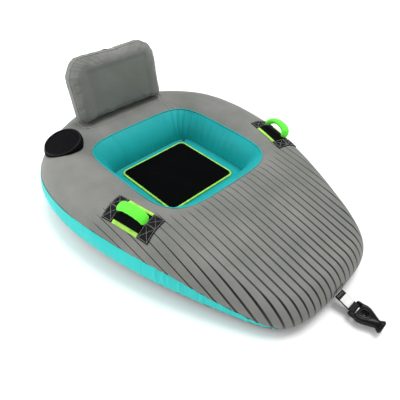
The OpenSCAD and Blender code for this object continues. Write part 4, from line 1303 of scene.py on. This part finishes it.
def tow():
    half = 0.033
    span = math.degrees(math.asin(half / BOW))
    f, g = np.meshgrid(np.linspace(0, 1, 24), np.linspace(0, 1, 30), indexing="ij")
    th = -span + 2 * span * f
    P = side(th, 18 - 54 * g)
    n = normals(P, False)
    inset = np.minimum(np.minimum(f, 1 - f) * 0.066, np.minimum(g, 1 - g) * 0.06)
    lift = 0.0026 * np.sqrt(clamp01(inset / 0.003)) + 0.0002
    patch = grid("nose_patch", P + n * lift[..., None], wrap=False, uv=lengths(P, False))
    modify(patch, "SOLIDIFY", thickness=0.0022, offset=-1)
    apply_modifiers(patch)
    place_piece(patch, "hull", M["patch"], ("tow_patch",))
    d = (BAR - ROOT) / np.linalg.norm(BAR - ROOT)
    reach = float(np.linalg.norm(BAR - ROOT))
    side_dir = np.array([0.0, 1.0, 0.0])
    up = np.cross(d, side_dir)
    up = up if up[2] > 0 else -up
    s = np.linspace(-0.002, reach - 0.012, 26)
    run = [ROOT + d * v + up * (0.0024 + 0.0006 * math.sin(v * 70)) for v in s]
    arc = [BAR + 0.0068 * (up * cos(a) + d * sin(a)) for a in np.linspace(0, 180, 18)]
    back = [ROOT + d * v - up * (0.0024 - 0.0004 * math.sin(v * 60)) for v in s[::-1]]
    line = np.array(run + arc + back)
    prof = [(0.025, 0.0), (0.0246, 0.0010), (0.0238, 0.0013), (-0.0238, 0.0013), (-0.0246, 0.0010),
            (-0.025, 0.0), (-0.0246, -0.0010), (-0.0238, -0.0013), (0.0238, -0.0013), (0.0246, -0.0010)]
    strap = sweep("tow_webbing", line, side_dir, face_up(line, side_dir, up, 5), prof, False)
    place_piece(strap, "tow_strap", M["webbing"], ("tow_strap",))
    stitch_lines = []
    for v in (0.004, 0.008, reach - 0.019, reach - 0.023):
        y = np.linspace(-0.021, 0.021, 10)
        stitch_lines.append(ROOT + d * v + up * 0.0042 + side_dir * y[:, None])
    sewn = stitches("tow_stitches", stitch_lines, up)
    place_piece(sewn, "tow_strap", M["thread"])
    v = np.linspace(0.019, 0.061, 24)
    lift = 0.0046 + 0.0006 * np.sin(v * 70) + 0.0006 * np.sin((v - 0.019) * 240)
    line = ROOT + d * v[:, None] + up * lift[:, None]
    prof = [(0.0246, 0.0), (0.0243, 0.0004), (-0.0243, 0.0004), (-0.0246, 0.0), (-0.0243, -0.0003),
            (0.0243, -0.0003)]
    label = sweep("blank_label", line, side_dir, face_up(line, side_dir, up, 5), prof, False)
    place_piece(label, "tow_strap", M["label"], ("tow_label",))
    connector()


def connector():
    source = nodes["tow_connector"]
    body = link(bpy.data.objects.new("quick_connector", source.data.copy()))
    body.data.materials.clear()
    remeshed(body, 0.0014)
    modify(body, "SMOOTH", factor=0.5, iterations=7)
    apply_modifiers(body)
    co, n = read(body.data.vertices, "co"), read(body.data.vertex_normals, "vector")
    x, y, z = (co - BAR).T
    top = smooth(np.abs(z), 0.008, 0.012)
    ring = np.hypot(x - 0.036, y)
    groove = np.exp(-((ring - 0.0290) / 0.0018) ** 2) * top * (x > 0.01)
    rib = np.exp(-((x - 0.0955) / 0.0012) ** 2)
    move_points(body, co + n * (-0.0011 * groove - 0.0006 * rib)[:, None])
    place_piece(body, "tow_connector", M["gloss"], ("tow_connector",))


# ---------------------------------------------------------------- zipper
def zipper():
    axis = np.array([(-0.00622724 - SETBACK), 0.0, 0.0848751])
    radius, tilt = 0.700, -25.0

    def at(turn, slope, off):
        r = radius + off * cos(tilt) - slope * sin(tilt)
        z = axis[2] + off * sin(tilt) + slope * cos(tilt) + 0 * r
        return np.stack([axis[0] - r * cos(turn), axis[1] - r * sin(turn), z], axis=-1)

    turn = np.linspace(-8.8, 8.8, 120)[:, None]
    slope = np.linspace(-0.015, 0.015, 24)[None, :]
    lift = 0.0012 + 0.0009 * np.sqrt(clamp01((0.015 - np.abs(slope)) / 0.002))
    lift = lift + 0.0003 * along(turn * 0.012, 0.02, 3)
    tape = grid("zipper_tape_cloth", at(turn, slope, lift), wrap=False)
    modify(tape, "SOLIDIFY", thickness=0.0008, offset=0)
    apply_modifiers(tape)
    fix_normals(tape)
    place_piece(tape, "hull", M["webbing"], ("zipper_tape",))
    teeth = []
    for i, a in enumerate(np.arange(-8.2, 8.2, 0.17)):
        sign = 1 if i % 2 else -1
        corners = []
        for off in (0.0022, 0.0036):
            grow = 1.0 if off < 0.003 else 0.75
            for da, ds in ((-0.055, -0.0026), (0.055, -0.0026), (0.055, 0.0012), (-0.055, 0.0012)):
                corners.append(at(np.array(a + da * grow), np.array(sign * ds * grow), off))
        teeth.append(np.array(corners))
    verts = np.concatenate(teeth)
    faces = []
    for i in range(len(teeth)):
        b = 8 * i
        faces += [[b, b + 3, b + 2, b + 1], [b + 4, b + 5, b + 6, b + 7]]
        faces += [[b + k, b + (k + 1) % 4, b + 4 + (k + 1) % 4, b + 4 + k] for k in range(4)]
    chain = fix_normals(mesh_from("zipper_chain", verts, faces))
    chain.data.polygons.foreach_set("use_smooth", np.zeros(len(chain.data.polygons), bool))
    place_piece(chain, "hull", M["plastic"], ("zipper_teeth",))


# ---------------------------------------------------------------- build
covers()
liner()
rim()
floor_mat()
drain()
backrest()
valve_cover()
back_valve_cover()
handles()
tow()
zipper()

KEPT = {"valve_base": "plastic", "valve_cap": "plastic", "backrest_valve_base": "plastic",
        "backrest_valve_cap": "plastic", "zipper_slider": "steel", "zipper_pull": "steel"}
for node_name, look in KEPT.items():
    node = nodes[node_name]
    node.data.materials.clear()
    node.data.materials.append(M[look])
    modify(node, "BEVEL", width=0.0004, segments=2, limit_method="ANGLE", angle_limit=math.radians(35))

# ---------------------------------------------------------------- studio
paint = Shader("studio_floor")
mottle = paint.noise(paint.object_coords(), 2.0)
paint.finish(paint.mix(mottle, (0.93, 0.93, 0.93), (0.95, 0.95, 0.95)), 0.9,
             constants={"Specular IOR Level": 0.1})
corners = [(x, y, -0.0005) for x, y in ((-8, -8), (8, -8), (8, 8), (-8, 8))]
ground = mesh_from("studio_floor", corners, [(0, 1, 2, 3)])
ground.data.materials.append(paint.mat)

world = bpy.data.worlds.new("studio")
bpy.context.scene.world = world
world.use_nodes = True
world.node_tree.nodes["Background"].inputs[0].default_value = (1, 1, 1, 1)
world.node_tree.nodes["Background"].inputs[1].default_value = 0.78


sun_data = bpy.data.lights.new("key", "SUN")
sun_data.energy = 1.95
sun_data.angle = math.radians(30)
sun = link(bpy.data.objects.new("key", sun_data))
sun.rotation_euler = Vector((-0.03, 0.30, 0.95)).to_track_quat("Z", "Y").to_euler()
fill_data = bpy.data.lights.new("left_fill", "AREA")
fill_data.shape = "RECTANGLE"
fill_data.size = fill_data.size_y = 1.6
fill_data.energy = 40
fill = link(bpy.data.objects.new("left_fill", fill_data))
fill.location = (-1.8, -2.2, 1.6)
fill.rotation_euler = Vector((-1.8, -2.2, 1.5)).to_track_quat("Z", "Y").to_euler()

az, el, roll = (math.radians(v) for v in (44.794, 41.760, 1.3137))
back_dir = Vector((math.sin(az) * math.cos(el), -math.cos(az) * math.cos(el), math.sin(el)))
right_dir = Vector((math.cos(az), math.sin(az), 0))
up_dir = back_dir.cross(right_dir)
right2 = right_dir * math.cos(roll) + up_dir * math.sin(roll)
up2 = -right_dir * math.sin(roll) + up_dir * math.cos(roll)
camera_data = bpy.data.cameras.new("photo_camera")
camera_data.lens = 36.0
camera_data.sensor_width = 36.0
camera = link(bpy.data.objects.new("photo_camera", camera_data))
camera.matrix_world = (Matrix.Translation((1.01765, -1.07914, 1.39957))
                       @ Matrix((right2, up2, back_dir)).transposed().to_4x4())
bpy.context.scene.camera = camera
bpy.context.scene.view_settings.view_transform = "Standard"
